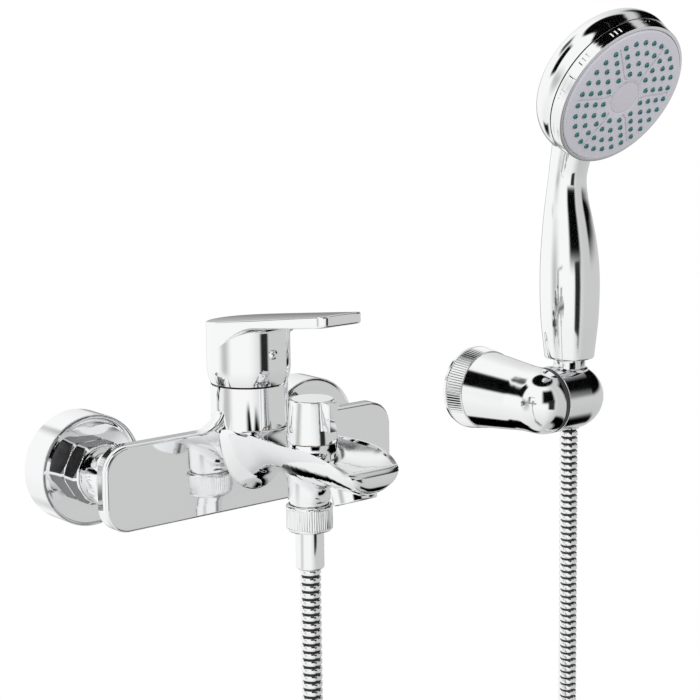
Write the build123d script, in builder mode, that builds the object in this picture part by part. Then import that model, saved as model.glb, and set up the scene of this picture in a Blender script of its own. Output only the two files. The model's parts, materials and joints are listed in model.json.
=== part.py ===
from build123d import *
import os
from math import asin, cos, pi, radians, sin, sqrt, tan

# Wall mounted single lever bath mixer with its shower set, in millimetres.
# The wall is the plane Y = 0 and the mixer stands out of it towards -Y, with +Z up.
# The origin lies on the wall, halfway between the two water inlets.
os.makedirs("parts", exist_ok=True)

# General sizes
overrun = 2.0  # how far a cutter passes the face it opens
seat_gap = 0.05  # radial clearance of parts that plug into one another
moving_gap = 0.3  # clearance between parts that turn past one another

# Inlets, escutcheons and union nuts
inlet_spacing = 150.0
union_bore = 8.0
wall_thread_radius = 10.45
wall_thread_length = 13.0
union_radius = 12.0
nut_thread_radius = 13.0
nut_thread_start = 7.0
nut_thread_end = 19.8
seal_thickness = 2.0
seal_inner_radius = 8.5
seal_outer_radius = 12.6
tail_radius = 11.0
tail_flange = 3.0
tail_end = 46.0
escutcheon_radius = 30.5
escutcheon_depth = 19.7
escutcheon_floor = 9.6
escutcheon_floor_radius = 18.5
escutcheon_wall = 1.2
escutcheon_rim = 0.9
hexagon_radius = 18.3
hexagon_groove = 1.5
hexagon_back = 9.9
hexagon_groove_start = 17.0
hexagon_groove_end = 23.7
hexagon_front = 31.0
hexagon_chamfer = 1.6

# Body casting: plate, tube behind it and inlet bosses
plate_half_width = 95.3
plate_top = 22.3
plate_bottom = -23.4
plate_back = 58.5
plate_front = 67.0
plate_corner = 14.0
plate_rim = 1.5
shoulder_radius = 14.0
gallery_reach = 48.0
gallery_radius = 16.0
gallery_half_length = 88.0
waterway_radius = 8.5
riser_radius = 4.0
riser_spread = 9.0
outlet_riser_reach = 70.0
spout_way_height = 5.6
spout_way_depth = 5.0
spout_way_half_width = 7.0
boss_radius = 15.0

# Cartridge housing
housing_reach = 61.5
housing_radius = 21.2
housing_base = 15.0
housing_top = 44.6
cartridge_radius = 17.3
cartridge_bottom = 16.3
cartridge_top = 34.8
cartridge_pocket_radius = 17.5

# Spout
spout_reach = 168.6
spout_half_width = 18.5
spout_depth = 22.0
pan_reach = 92.0
pan_floor = 11.2
pan_tilt = 1.9
pan_half_width = 10.2
pan_lip_half_width = 13.8
pan_flare = 33.0
pan_corner = 4.0

# Diverter knob on the spout
diverter_reach = 117.2
collar_radius = 13.2
collar_top = 21.1
knob_bottom = 21.9
knob_top = 44.2
knob_bottom_radius = 13.75
knob_top_radius = 11.6
knob_edge = 0.8
knob_hollow_radius = 9.5
knob_hollow_top = 38.0
knob_hub_radius = 5.0
knob_hub_bottom = 28.0
fin_half_width = 2.9
fin_reach = 135.5
fin_bottom = 29.3
fin_edge = 0.6
bonnet_radius = 8.9
bonnet_bottom = 6.0
bonnet_top = 27.0
spindle_radius = 3.0
spindle_bottom = 10.0
spindle_top = 39.9

# Shower outlet and hose nut
outlet_reach = 113.7
outlet_radius = 11.2
outlet_bottom = -10.5
outlet_root = 5.0
outlet_fillet = 8.0
outlet_bore = 6.5
outlet_bore_top = 5.0
outlet_thread_radius = 10.3
outlet_thread_bottom = -22.0
hose_nut_top = -12.6
hose_nut_bottom = -26.8
hose_nut_radius = 12.3
hose_nut_chamfer = 1.0
hose_nut_knurl_depth = 0.35
hose_nut_knurl_margin = 2.2
hose_nut_grooves = 60
hose_washer_thickness = 2.0

# Aerator
aerator_reach = 152.5
aerator_height = -4.3
aerator_tilt = 19.3
aerator_radius = 11.5
aerator_length = 14.0
aerator_wall = 1.9
aerator_pitch = 3.0
aerator_lip = 0.8

# Handle
cap_radius = 22.7
cap_bottom = 45.5
cap_top = 79.9
cap_slope = 7.6
lever_reach = 144.3
lever_half_width = 14.0
lever_corner = 5.0
lever_thickness = 5.3
handle_edge = 1.2
pivot_height = 54.5
lift_angle = 20.0
turn_angle = 45.0
cavity_radius = 20.6
cavity_top = 69.5
socket_radius = 8.5
socket_bottom = 61.5
stem_width = 8.0
stem_bottom = 49.5
stem_top = 69.0
grub_height = 62.7
grub_boss_radius = 4.0
grub_radius = 2.5
grub_length = 6.0
plug_radius = 2.75
plug_length = 3.0

# Dome nut and cartridge carrier
dome_radius = 20.1
dome_top = 57.5
dome_flange = 3.5
dome_opening = 10.4
carrier_radius = 10.0
carrier_top = 57.2
carrier_slot = 8.6
carrier_slot_bottom = 47.6
lever_pin_radius = 1.5

# Wall bracket
bracket_x = 221.5
bracket_z = 3.0
rose_radius = 25.6
rose_foot = 5.8
rose_front = 15.6
knurl_radius = 26.6
knurl_front_radius = 24.7
knurl_depth = 0.7
knurl_grooves = 60
rose_inner_radius = 22.6
arm_back = 16.0
arm_back_radius = 24.3
arm_front = 50.0
arm_front_radius = 20.7
arm_wall = 3.0
bracket_plate_radius = 20.0
bracket_plate_thickness = 5.0
wall_screw_spacing = 24.0
wall_screw_radius = 2.2
wall_screw_head_radius = 4.2
wall_screw_head = 2.4
wall_screw_length = 22.0
swivel_reach = 63.5
swivel_radius = 20.5
seam_x = 222.0
washer_thickness = 3.4
swivel_screw_radius = 4.0
holder_end_x = 267.5
handset_x = 245.0
handset_reach = 63.6
socket_slot_width = 13.0

# Handset
handle_bottom = 27.8
cone_top = 27.4
cone_collar_bottom = 22.0
cone_collar_radius = 10.0
cone_top_radius = 11.8
cone_top_height = 21.0
cone_bottom_radius = 9.3
cone_bottom = -8.0
cone_spigot_radius = 8.0
cone_spigot_length = 14.0
cone_bore = 4.0
hose_tail_radius = 6.5
hose_tail_end_radius = 21.3
grip_radius = 18.6
shell_wall = 2.4
neck_drop = 51.3
flare_drops = [39.1, 26.6, 12.5]
head_reach = 106.8
head_height = 191.5
head_tilt = 29.4
face_radius = 44.1
face_crown = 1.6
face_edge = 1.2
face_thickness = 2.5
face_skirt = 2.1
ring_radius = 47.3
ring_front_radius = 46.6
ring_start = 1.2
ring_end = 9.0
shell_start = 9.4
shell_radius = 48.6
shell_front_radius = 47.6
shell_depth = 36.5
chamber_radius = 40.0
centre_disc_radius = 10.5
centre_disc_depth = 0.5
nozzle_radius = 1.7
nozzle_height = 1.0
nozzle_ring_radii = [36.6, 29.9, 23.0, 16.5]
nozzles_per_sector = [5, 4, 3, 2]
nozzle_phases = [127.3, 128.4, 130.6, 134.3]
sectors = 6
groove_width = 0.9
groove_depth = 0.4
groove_radii = [13.0, 15.0, 17.5, 22.0, 30.0, 38.2]
groove_turns = [128.5, 123.0, 120.3, 119.4, 118.8, 118.0]
ring_mark_groups = 12
ring_mark_spacing = 3.75
ring_mark_start = 3.2
ring_mark_length = 3.4
ring_mark_width = 0.7
ring_mark_depth = 0.8
ring_pointer_turn = 165.0

# Hose
hose_radius = 5.6
hose_bore = 4.0
hose_length = 1500.0
hose_pitch = 4.15
hose_groove_depth = 0.6
hose_flank = 0.5
back_flank_share = 1.5
mixer_ribs = 25
bracket_ribs = 42
ferrule_bottom = -47.6
ferrule_radius = 7.5
hose_bend_radius = 60.0
coil_radius = 62.0
coil_turns = 2
coil_pitch = 13.3

inlet_x = inlet_spacing / 2
housing_axis = Axis((0, -housing_reach, 0), (0, 0, 1))
housing_face = Plane(origin=(0, -housing_reach, 0), x_dir=(1, 0, 0), z_dir=(0, -1, 0))
knob_axis = Axis((0, -diverter_reach, 0), (0, 0, 1))
knob_face = Plane(origin=(0, -diverter_reach, 0), x_dir=(1, 0, 0), z_dir=(0, -1, 0))
outlet_axis = Axis((0, -outlet_reach, 0), (0, 0, 1))
outlet_face = Plane(origin=(0, -outlet_reach, 0), x_dir=(1, 0, 0), z_dir=(0, -1, 0))
aerator_lean = radians(aerator_tilt)
aerator_plane = Plane(
    origin=(0, -aerator_reach, aerator_height),
    x_dir=(1, 0, 0),
    z_dir=(0, sin(aerator_lean), cos(aerator_lean)),
)
boss_face = hexagon_front + moving_gap

# Mixer body. The spout hangs half ellipses from its top edge, as shares of the spout's own sizes
spout_length = spout_reach - plate_front
reach_shares = [-0.01, 0.02, 0.06, 0.13, 0.23, 0.47, 0.82, 0.915, 0.975, 1.0]
width_shares = [1.40, 1.23, 1.10, 1.01, 0.99, 1.01, 1.04, 0.995, 0.90, 0.825]
top_shares = [1.0, 1.0, 0.997, 0.99, 0.978, 0.951, 0.915, 0.79, 0.668, 0.614]
depth_shares = [1.70, 1.55, 1.36, 1.18, 1.0, 0.955, 0.91, 0.755, 0.57, 0.43]
neck_width_share = 0.96
gallery_round_share = 0.4
neck_half_width = housing_radius * neck_width_share
pan_length = spout_reach - pan_reach + overrun
pan_slope = radians(pan_tilt)
with BuildPart() as mixer_body:
    with BuildSketch(Plane.YZ.offset(-gallery_half_length)):
        with Locations((-gallery_reach, 0)):
            Circle(gallery_radius)
    extrude(amount=2 * gallery_half_length)
    fillet(mixer_body.edges().filter_by(GeomType.CIRCLE), gallery_radius * gallery_round_share)
    with BuildSketch(Plane.XZ.offset(plate_back)):
        with Locations((0, (plate_top + plate_bottom) / 2)):
            RectangleRounded(2 * plate_half_width, plate_top - plate_bottom, plate_corner)
        with BuildLine():
            Line((-neck_half_width, plate_top + shoulder_radius), (neck_half_width, plate_top + shoulder_radius))
            CenterArc((neck_half_width + shoulder_radius, plate_top + shoulder_radius), shoulder_radius, 180, 90)
            Line((neck_half_width + shoulder_radius, plate_top), (-neck_half_width - shoulder_radius, plate_top))
            CenterArc((-neck_half_width - shoulder_radius, plate_top + shoulder_radius), shoulder_radius, 270, 90)
        make_face()
    extrude(amount=plate_front - plate_back)
    fillet(mixer_body.faces().sort_by(Axis.Y)[0].edges(), plate_rim)
    with BuildSketch(Plane.XZ.offset(boss_face)):
        with Locations((-inlet_x, 0), (inlet_x, 0)):
            Circle(boss_radius)
    extrude(amount=gallery_reach - boss_face)
    with BuildSketch(Plane.XY.offset(housing_base)):
        with Locations((0, -housing_reach)):
            Circle(housing_radius)
    extrude(amount=housing_top - housing_base)
    for reach_share, width_share, top_share, depth_share in zip(reach_shares, width_shares, top_shares, depth_shares):
        with BuildSketch(Plane.XZ.offset(plate_front + spout_length * reach_share)):
            half_width = spout_half_width * width_share
            top = plate_top * top_share
            with BuildLine():
                Line((-half_width, top), (half_width, top))
                EllipticalCenterArc((0, top), half_width, spout_depth * depth_share, 180, arc_size=180)
            make_face()
    loft()
    with BuildSketch(Plane.XY.offset(outlet_bottom)):
        with Locations((0, -outlet_reach)):
            Circle(outlet_radius)
    extrude(amount=outlet_root - outlet_bottom)
    fillet(mixer_body.edges(Select.NEW), outlet_fillet)
    with BuildSketch(
        Plane(origin=(0, -pan_reach, pan_floor), x_dir=(1, 0, 0), z_dir=(0, sin(pan_slope), cos(pan_slope)))
    ) as pan:
        with BuildLine():
            Polyline(
                (-pan_half_width, 0),
                (pan_half_width, 0),
                (pan_lip_half_width, -pan_length),
                (-pan_lip_half_width, -pan_length),
                close=True,
            )
        make_face()
        fillet(pan.vertices().group_by(Axis.Y)[-1], pan_corner)
    extrude(amount=plate_top - pan_floor + overrun, taper=-pan_flare, mode=Mode.SUBTRACT)
    with BuildSketch(Plane.XY.offset(bonnet_bottom)):
        with Locations((0, -diverter_reach)):
            Circle(collar_radius)
    extrude(amount=collar_top - bonnet_bottom)
    with BuildSketch(Plane.XY.offset(outlet_thread_bottom)):
        with Locations((0, -outlet_reach)):
            Circle(outlet_thread_radius)
    extrude(amount=outlet_root - outlet_thread_bottom)
    # Water ways, and bores for the inlet tails, cartridge, diverter, shower outlet and aerator
    with BuildSketch(Plane.XZ.offset(boss_face)):
        with Locations((-inlet_x, 0), (inlet_x, 0)):
            Circle(tail_radius + seat_gap)
    extrude(amount=tail_end - boss_face, mode=Mode.SUBTRACT)
    for sign in (-1, 1):
        with BuildSketch(Plane.YZ.offset(sign * inlet_x)):
            with Locations((-gallery_reach, 0)):
                Circle(waterway_radius)
        extrude(amount=sign * (riser_spread - inlet_x), mode=Mode.SUBTRACT)
        with BuildSketch():
            with Locations((sign * riser_spread, -gallery_reach)):
                Circle(riser_radius)
        extrude(amount=cartridge_bottom + overrun, mode=Mode.SUBTRACT)
    with BuildSketch(Plane.XY.offset(spout_way_height)):
        with Locations((0, -outlet_riser_reach)):
            Circle(riser_radius)
    extrude(amount=cartridge_bottom - spout_way_height + overrun, mode=Mode.SUBTRACT)
    with BuildSketch(Plane.XZ.offset(outlet_riser_reach - riser_radius)):
        with Locations((0, spout_way_height)):
            Rectangle(2 * spout_way_half_width, spout_way_depth)
    extrude(amount=aerator_reach - outlet_riser_reach, mode=Mode.SUBTRACT)
    with BuildSketch(Plane.XY.offset(cartridge_bottom)):
        with Locations((0, -housing_reach)):
            Circle(cartridge_pocket_radius)
    extrude(amount=housing_top - cartridge_bottom + overrun, mode=Mode.SUBTRACT)
    with Locations((0, -housing_reach, pivot_height)):
        Sphere(cap_radius + moving_gap, mode=Mode.SUBTRACT)
    with BuildSketch(Plane.XY.offset(bonnet_bottom)):
        with Locations((0, -diverter_reach)):
            Circle(bonnet_radius + seat_gap)
    extrude(amount=collar_top - bonnet_bottom + overrun, mode=Mode.SUBTRACT)
    with BuildSketch(Plane.XY.offset(outlet_thread_bottom - overrun)):
        with Locations((0, -outlet_reach)):
            Circle(outlet_bore)
    extrude(amount=outlet_bore_top - outlet_thread_bottom + overrun, mode=Mode.SUBTRACT)
    with BuildSketch(aerator_plane.offset(-overrun)):
        Circle(aerator_radius + seat_gap)
    extrude(amount=aerator_length + overrun, mode=Mode.SUBTRACT)
mixer_body.part.label = "mixer_body"
export_step(mixer_body.part, "parts/mixer_body.step")

# Wall side of each inlet: union, seal, tail, escutcheon and hexagon nut. The shares bow the dish
dish_middle_share = 0.68
middle_share = 0.36
inner_middle_share = 0.22
inner_rim_share = 0.6
for side, x in (("left", -inlet_x), ("right", inlet_x)):
    inlet_plane = Plane(origin=(x, 0, 0))
    inlet_axis = Axis((x, 0, 0), (0, 1, 0))
    inlet_face = Plane(origin=(x, 0, 0), x_dir=(1, 0, 0), z_dir=(0, -1, 0))

    with BuildPart() as wall_union:
        with BuildSketch(inlet_plane):
            with BuildLine():
                Polyline(
                    (union_bore, wall_thread_length),
                    (wall_thread_radius, wall_thread_length),
                    (wall_thread_radius, 0),
                    (union_radius, 0),
                    (union_radius, -nut_thread_start),
                    (nut_thread_radius, -nut_thread_start),
                    (nut_thread_radius, -nut_thread_end),
                    (union_bore, -nut_thread_end),
                    close=True,
                )
            make_face()
        revolve(axis=inlet_axis)
    wall_union.part.label = f"wall_union_{side}"
    export_step(wall_union.part, f"parts/wall_union_{side}.step")

    seal_end = nut_thread_end + seal_thickness
    with BuildPart() as union_seal:
        with BuildSketch(inlet_face.offset(nut_thread_end)):
            Circle(seal_outer_radius)
            Circle(seal_inner_radius, mode=Mode.SUBTRACT)
        extrude(amount=seal_thickness)
    union_seal.part.label = f"union_seal_{side}"
    export_step(union_seal.part, f"parts/union_seal_{side}.step")

    with BuildPart() as inlet_tail:
        with BuildSketch(inlet_face.offset(seal_end)):
            Circle(seal_outer_radius)
        extrude(amount=tail_flange)
        with BuildSketch(inlet_face.offset(seal_end)):
            Circle(tail_radius)
        extrude(amount=tail_end - seal_end)
        with BuildSketch(inlet_face.offset(seal_end)):
            Circle(union_bore)
        extrude(amount=tail_end - seal_end, mode=Mode.SUBTRACT)
    inlet_tail.part.label = f"inlet_tail_{side}"
    export_step(inlet_tail.part, f"parts/inlet_tail_{side}.step")

    # The escutcheon is a thin cup with a dished front that the union passes through
    hole_radius = nut_thread_radius + moving_gap
    skirt_radius = escutcheon_radius - escutcheon_wall
    dish_width = escutcheon_radius - escutcheon_rim - escutcheon_floor_radius
    dish_depth = escutcheon_depth - escutcheon_floor
    inner_floor = escutcheon_floor - escutcheon_wall
    dish_middle = escutcheon_floor_radius + dish_width * dish_middle_share
    with BuildPart() as escutcheon:
        with BuildSketch(inlet_plane):
            with BuildLine():
                Polyline(
                    (skirt_radius, -inner_floor - dish_depth * inner_rim_share),
                    (skirt_radius, 0),
                    (escutcheon_radius, 0),
                    (escutcheon_radius, -escutcheon_depth + escutcheon_rim),
                    (escutcheon_radius - escutcheon_rim, -escutcheon_depth),
                )
                ThreePointArc(
                    (escutcheon_radius - escutcheon_rim, -escutcheon_depth),
                    (dish_middle, -escutcheon_floor - dish_depth * middle_share),
                    (escutcheon_floor_radius, -escutcheon_floor),
                )
                Polyline(
                    (escutcheon_floor_radius, -escutcheon_floor),
                    (hole_radius, -escutcheon_floor),
                    (hole_radius, -inner_floor),
                    (escutcheon_floor_radius, -inner_floor),
                )
                ThreePointArc(
                    (escutcheon_floor_radius, -inner_floor),
                    (dish_middle, -inner_floor - dish_depth * inner_middle_share),
                    (skirt_radius, -inner_floor - dish_depth * inner_rim_share),
                )
            make_face()
        revolve(axis=inlet_axis)
    escutcheon.part.label = f"escutcheon_{side}"
    export_step(escutcheon.part, f"parts/escutcheon_{side}.step")

    # The nut has two hexagons with a groove between them, its corners turned off at both ends
    flange_end = seal_end + tail_flange
    flats_radius = hexagon_radius * cos(pi / 6)
    with BuildPart() as union_nut:
        with BuildSketch(inlet_face.offset(hexagon_back)):
            RegularPolygon(hexagon_radius, 6)
        extrude(amount=hexagon_groove_start - hexagon_back)
        with BuildSketch(inlet_face.offset(hexagon_groove_start)):
            RegularPolygon(hexagon_radius - hexagon_groove, 6)
        extrude(amount=hexagon_groove_end - hexagon_groove_start)
        with BuildSketch(inlet_face.offset(hexagon_groove_end)):
            RegularPolygon(hexagon_radius, 6)
        extrude(amount=hexagon_front - hexagon_groove_end)
        with BuildSketch(inlet_plane):
            with BuildLine():
                Polyline(
                    (0, -hexagon_back),
                    (flats_radius, -hexagon_back),
                    (hexagon_radius, -hexagon_back - hexagon_chamfer),
                    (hexagon_radius, -hexagon_front + hexagon_chamfer),
                    (flats_radius, -hexagon_front),
                    (0, -hexagon_front),
                    close=True,
                )
            make_face()
        revolve(axis=inlet_axis, mode=Mode.INTERSECT)
        with BuildSketch(inlet_face.offset(hexagon_back)):
            Circle(nut_thread_radius + seat_gap)
        extrude(amount=flange_end - hexagon_back, mode=Mode.SUBTRACT)
        with BuildSketch(inlet_face.offset(hexagon_back)):
            Circle(tail_radius + moving_gap)
        extrude(amount=hexagon_front - hexagon_back, mode=Mode.SUBTRACT)
    union_nut.part.label = f"union_nut_{side}"
    export_step(union_nut.part, f"parts/union_nut_{side}.step")

# Cartridge in its pocket, held down by the dome nut
with BuildPart() as cartridge:
    with BuildSketch(Plane.XY.offset(cartridge_bottom)):
        with Locations((0, -housing_reach)):
            Circle(cartridge_radius)
    extrude(amount=cartridge_top - cartridge_bottom)
cartridge.part.label = "cartridge"
export_step(cartridge.part, "parts/cartridge.step")

# The dome is a zone of a ball about the lever's pivot, so the cap can tilt over it
flange_top = cartridge_top + dome_flange
dome_foot = sqrt(dome_radius**2 - (pivot_height - flange_top) ** 2)
dome_rim = sqrt(dome_radius**2 - (dome_top - pivot_height) ** 2)
with BuildPart() as cartridge_nut:
    with BuildSketch(housing_face):
        with BuildLine():
            Polyline(
                (dome_foot, flange_top),
                (cartridge_pocket_radius - seat_gap, flange_top),
                (cartridge_pocket_radius - seat_gap, cartridge_top),
                (dome_opening, cartridge_top),
                (dome_opening, dome_top),
                (dome_rim, dome_top),
            )
            RadiusArc((dome_rim, dome_top), (dome_foot, flange_top), dome_radius)
        make_face()
    revolve(axis=housing_axis)
cartridge_nut.part.label = "cartridge_nut"
export_step(cartridge_nut.part, "parts/cartridge_nut.step")

# The carrier turns with the lever, which tilts about the pin across its slot
with BuildPart() as cartridge_carrier:
    with BuildSketch(Plane.XY.offset(cartridge_top + moving_gap)):
        with Locations((0, -housing_reach)):
            Circle(carrier_radius)
    extrude(amount=carrier_top - cartridge_top - moving_gap)
    with BuildSketch(Plane.XY.offset(carrier_slot_bottom)):
        with Locations((0, -housing_reach)):
            Rectangle(carrier_slot, 2 * carrier_radius + overrun)
    extrude(amount=carrier_top - carrier_slot_bottom + overrun, mode=Mode.SUBTRACT)
    with BuildSketch(Plane.YZ.offset(-carrier_radius)):
        with Locations((-housing_reach, pivot_height)):
            Circle(lever_pin_radius)
    extrude(amount=2 * carrier_radius, mode=Mode.SUBTRACT)
cartridge_carrier.part.label = "cartridge_carrier"
export_step(cartridge_carrier.part, "parts/cartridge_carrier.step")

pin_length_share = 0.95
lever_pin_half_length = carrier_radius * pin_length_share
with BuildPart() as lever_pin:
    with BuildSketch(Plane.YZ.offset(-lever_pin_half_length)):
        with Locations((-housing_reach, pivot_height)):
            Circle(lever_pin_radius)
    extrude(amount=2 * lever_pin_half_length)
lever_pin.part.label = "lever_pin"
export_step(lever_pin.part, "parts/lever_pin.step")

with BuildPart() as cartridge_stem:
    with BuildSketch(Plane.XY.offset(stem_bottom)):
        with Locations((0, -housing_reach)):
            Rectangle(stem_width, stem_width)
    extrude(amount=stem_top - stem_bottom)
    with BuildSketch(Plane.YZ.offset(-stem_width)):
        with Locations((-housing_reach, pivot_height)):
            Circle(lever_pin_radius + seat_gap)
    extrude(amount=2 * stem_width, mode=Mode.SUBTRACT)
cartridge_stem.part.label = "cartridge_stem"
export_step(cartridge_stem.part, "parts/cartridge_stem.step")

# Lever blade: the hull of the cap's circle and two corner circles, of one thickness below its
# sloping top, with an arc where it runs into the cap
top_slope = tan(radians(cap_slope))
blade_tip_top = cap_top + top_slope * (lever_reach - housing_reach)
blade_end = lever_reach + overrun
blade_root_reach = 92.0
blade_throat_reach = 70.0
blade_throat_height = 70.0
blade_tip_bottom = blade_tip_top + top_slope * overrun - lever_thickness
root_thickness_share = 0.88
blade_root_bottom = cap_top + top_slope * (blade_root_reach - housing_reach) - lever_thickness * root_thickness_share
blade_slope = (blade_tip_bottom - blade_root_bottom) / (blade_end - blade_root_reach)
blade_back = housing_reach - cap_radius - overrun
with BuildPart() as blade:
    with BuildSketch(Plane.XY.offset(blade_throat_height - overrun)):
        with Locations((0, -housing_reach)):
            Circle(cap_radius)
        with Locations(
            (lever_corner - lever_half_width, lever_corner - lever_reach),
            (lever_half_width - lever_corner, lever_corner - lever_reach),
        ):
            Circle(lever_corner)
        make_hull()
    extrude(amount=blade_tip_top - blade_throat_height + 2 * overrun)
    with BuildSketch(Plane.YZ.offset(-cap_radius - overrun)):
        with BuildLine():
            Polyline(
                (-blade_throat_reach, blade_throat_height),
                (-blade_back, blade_throat_height),
                (-blade_back, blade_tip_top + overrun),
                (-blade_end, blade_tip_top + overrun),
                (-blade_end, blade_tip_bottom),
                (-blade_root_reach, blade_root_bottom),
            )
            TangentArc(
                (-blade_root_reach, blade_root_bottom),
                (-blade_throat_reach, blade_throat_height),
                tangent=(1, -blade_slope),
            )
        make_face()
    extrude(amount=2 * (cap_radius + overrun), mode=Mode.INTERSECT)

grub_boss_end = housing_reach + cavity_radius
cap_axis = Axis((0, -housing_reach, cap_top), (0, sin(radians(cap_slope)), cos(radians(cap_slope))))
cap_foot = sqrt(cap_radius**2 - (pivot_height - cap_bottom) ** 2)
cavity_foot = sqrt(cavity_radius**2 - (pivot_height - cap_bottom) ** 2)
with BuildPart() as handle:
    with BuildSketch(housing_face):
        with BuildLine():
            RadiusArc((cap_foot, cap_bottom), (cap_radius, pivot_height), -cap_radius)
            Polyline(
                (cap_radius, pivot_height),
                (cap_radius, blade_tip_top),
                (0, blade_tip_top),
                (0, cap_bottom),
                (cap_foot, cap_bottom),
            )
        make_face()
    revolve(axis=housing_axis)
    add(blade.part)
    split(bisect_by=Plane(origin=cap_axis.position, z_dir=cap_axis.direction), keep=Keep.BOTTOM)
    fillet(handle.faces().sort_by(cap_axis)[-1].edges(), handle_edge)
    # Ball shaped cavity that swings over the dome, with a socket for the stem and a screw boss
    with BuildSketch(housing_face):
        with BuildLine():
            Polyline(
                (cavity_radius, pivot_height),
                (cavity_radius, cavity_top),
                (0, cavity_top),
                (0, cap_bottom - overrun),
                (cavity_foot, cap_bottom - overrun),
                (cavity_foot, cap_bottom),
            )
            RadiusArc((cavity_foot, cap_bottom), (cavity_radius, pivot_height), -cavity_radius)
        make_face()
    revolve(axis=housing_axis, mode=Mode.SUBTRACT)
    with BuildSketch(Plane.XY.offset(socket_bottom)):
        with Locations((0, -housing_reach)):
            Circle(socket_radius)
    extrude(amount=cavity_top - socket_bottom + overrun)
    with BuildSketch(Plane.XZ.offset(housing_reach + stem_width / 2)):
        with Locations((0, grub_height)):
            Circle(grub_boss_radius)
    extrude(amount=grub_boss_end - housing_reach - stem_width / 2)
    with BuildSketch(Plane.XY.offset(socket_bottom - grub_boss_radius)):
        with Locations((0, -housing_reach)):
            Rectangle(stem_width + 2 * seat_gap, stem_width + 2 * seat_gap)
    extrude(amount=cavity_top - socket_bottom + grub_boss_radius, mode=Mode.SUBTRACT)
    with BuildSketch(Plane.XZ.offset(housing_reach)):
        with Locations((0, grub_height)):
            Circle(grub_radius + seat_gap)
    extrude(amount=cap_radius + overrun, mode=Mode.SUBTRACT)
    with BuildSketch(Plane.XZ.offset(housing_reach + cap_radius - plug_length)):
        with Locations((0, grub_height)):
            Circle(plug_radius + seat_gap)
    extrude(amount=plug_length + overrun, mode=Mode.SUBTRACT)
handle.part.label = "handle"
export_step(handle.part, "parts/handle.step")

with BuildPart() as grub_screw:
    with BuildSketch(Plane.XZ.offset(housing_reach + stem_width / 2)):
        with Locations((0, grub_height)):
            Circle(grub_radius)
    extrude(amount=grub_length)
    with BuildSketch(Plane.XZ.offset(housing_reach + stem_width / 2 + grub_length / 2)):
        with Locations((0, grub_height)):
            RegularPolygon(grub_radius / 2, 6)
    extrude(amount=grub_length, mode=Mode.SUBTRACT)
grub_screw.part.label = "grub_screw"
export_step(grub_screw.part, "parts/grub_screw.step")

plug_round_share = 0.25
with BuildPart() as screw_plug:
    with BuildSketch(Plane.XZ.offset(housing_reach + cap_radius - plug_length)):
        with Locations((0, grub_height)):
            Circle(plug_radius)
    extrude(amount=plug_length)
    fillet(screw_plug.faces().sort_by(Axis.Y)[0].edges(), plug_radius * plug_round_share)
screw_plug.part.label = "screw_plug"
export_step(screw_plug.part, "parts/screw_plug.step")

# Diverter: a bonnet screwed into the spout, a spindle through it and the knob with its finger tab
with BuildPart() as diverter_bonnet:
    with BuildSketch(Plane.XY.offset(bonnet_bottom)):
        with Locations((0, -diverter_reach)):
            Circle(bonnet_radius)
    extrude(amount=bonnet_top - bonnet_bottom)
    with BuildSketch(Plane.XY.offset(spindle_bottom)):
        with Locations((0, -diverter_reach)):
            Circle(spindle_radius + seat_gap)
    extrude(amount=bonnet_top - spindle_bottom, mode=Mode.SUBTRACT)
diverter_bonnet.part.label = "diverter_bonnet"
export_step(diverter_bonnet.part, "parts/diverter_bonnet.step")

with BuildPart() as diverter_spindle:
    with BuildSketch(Plane.XY.offset(spindle_bottom)):
        with Locations((0, -diverter_reach)):
            Circle(spindle_radius)
    extrude(amount=spindle_top - spindle_bottom)
diverter_spindle.part.label = "diverter_spindle"
export_step(diverter_spindle.part, "parts/diverter_spindle.step")

with BuildPart() as diverter_knob:
    with BuildSketch(knob_face):
        with BuildLine():
            Polyline(
                (0, knob_bottom),
                (knob_bottom_radius, knob_bottom),
                (knob_top_radius, knob_top),
                (0, knob_top),
                close=True,
            )
        make_face()
    revolve(axis=knob_axis)
    fillet(diverter_knob.faces().sort_by(Axis.Z)[-1].edges(), knob_edge)
    with BuildSketch(Plane.XY.offset(fin_bottom)):
        with Locations((0, -(diverter_reach + fin_reach) / 2)):
            Rectangle(2 * fin_half_width, fin_reach - diverter_reach)
    extrude(amount=knob_top - fin_bottom)
    fillet(diverter_knob.edges().filter_by(Axis.Z).group_by(Axis.Y)[0], fin_edge)
    with BuildSketch(Plane.XY.offset(knob_bottom)):
        with Locations((0, -diverter_reach)):
            Circle(knob_hollow_radius)
    extrude(amount=knob_hollow_top - knob_bottom, mode=Mode.SUBTRACT)
    with BuildSketch(Plane.XY.offset(knob_hub_bottom)):
        with Locations((0, -diverter_reach)):
            Circle(knob_hub_radius)
    extrude(amount=knob_hollow_top - knob_hub_bottom + overrun)
    with BuildSketch(Plane.XY.offset(knob_hub_bottom)):
        with Locations((0, -diverter_reach)):
            Circle(spindle_radius)
    extrude(amount=spindle_top - knob_hub_bottom, mode=Mode.SUBTRACT)
diverter_knob.part.label = "diverter_knob"
export_step(diverter_knob.part, "parts/diverter_knob.step")

# Aerator
insert_radius = aerator_radius - aerator_wall
with BuildPart() as aerator_housing:
    with BuildSketch(aerator_plane):
        Circle(aerator_radius)
        Circle(insert_radius, mode=Mode.SUBTRACT)
    extrude(amount=aerator_length)
    chamfer(aerator_housing.faces().sort_by(Axis.Z)[0].edges().sort_by(SortBy.LENGTH)[-1], aerator_lip)
aerator_housing.part.label = "aerator_housing"
export_step(aerator_housing.part, "parts/aerator_housing.step")

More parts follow.
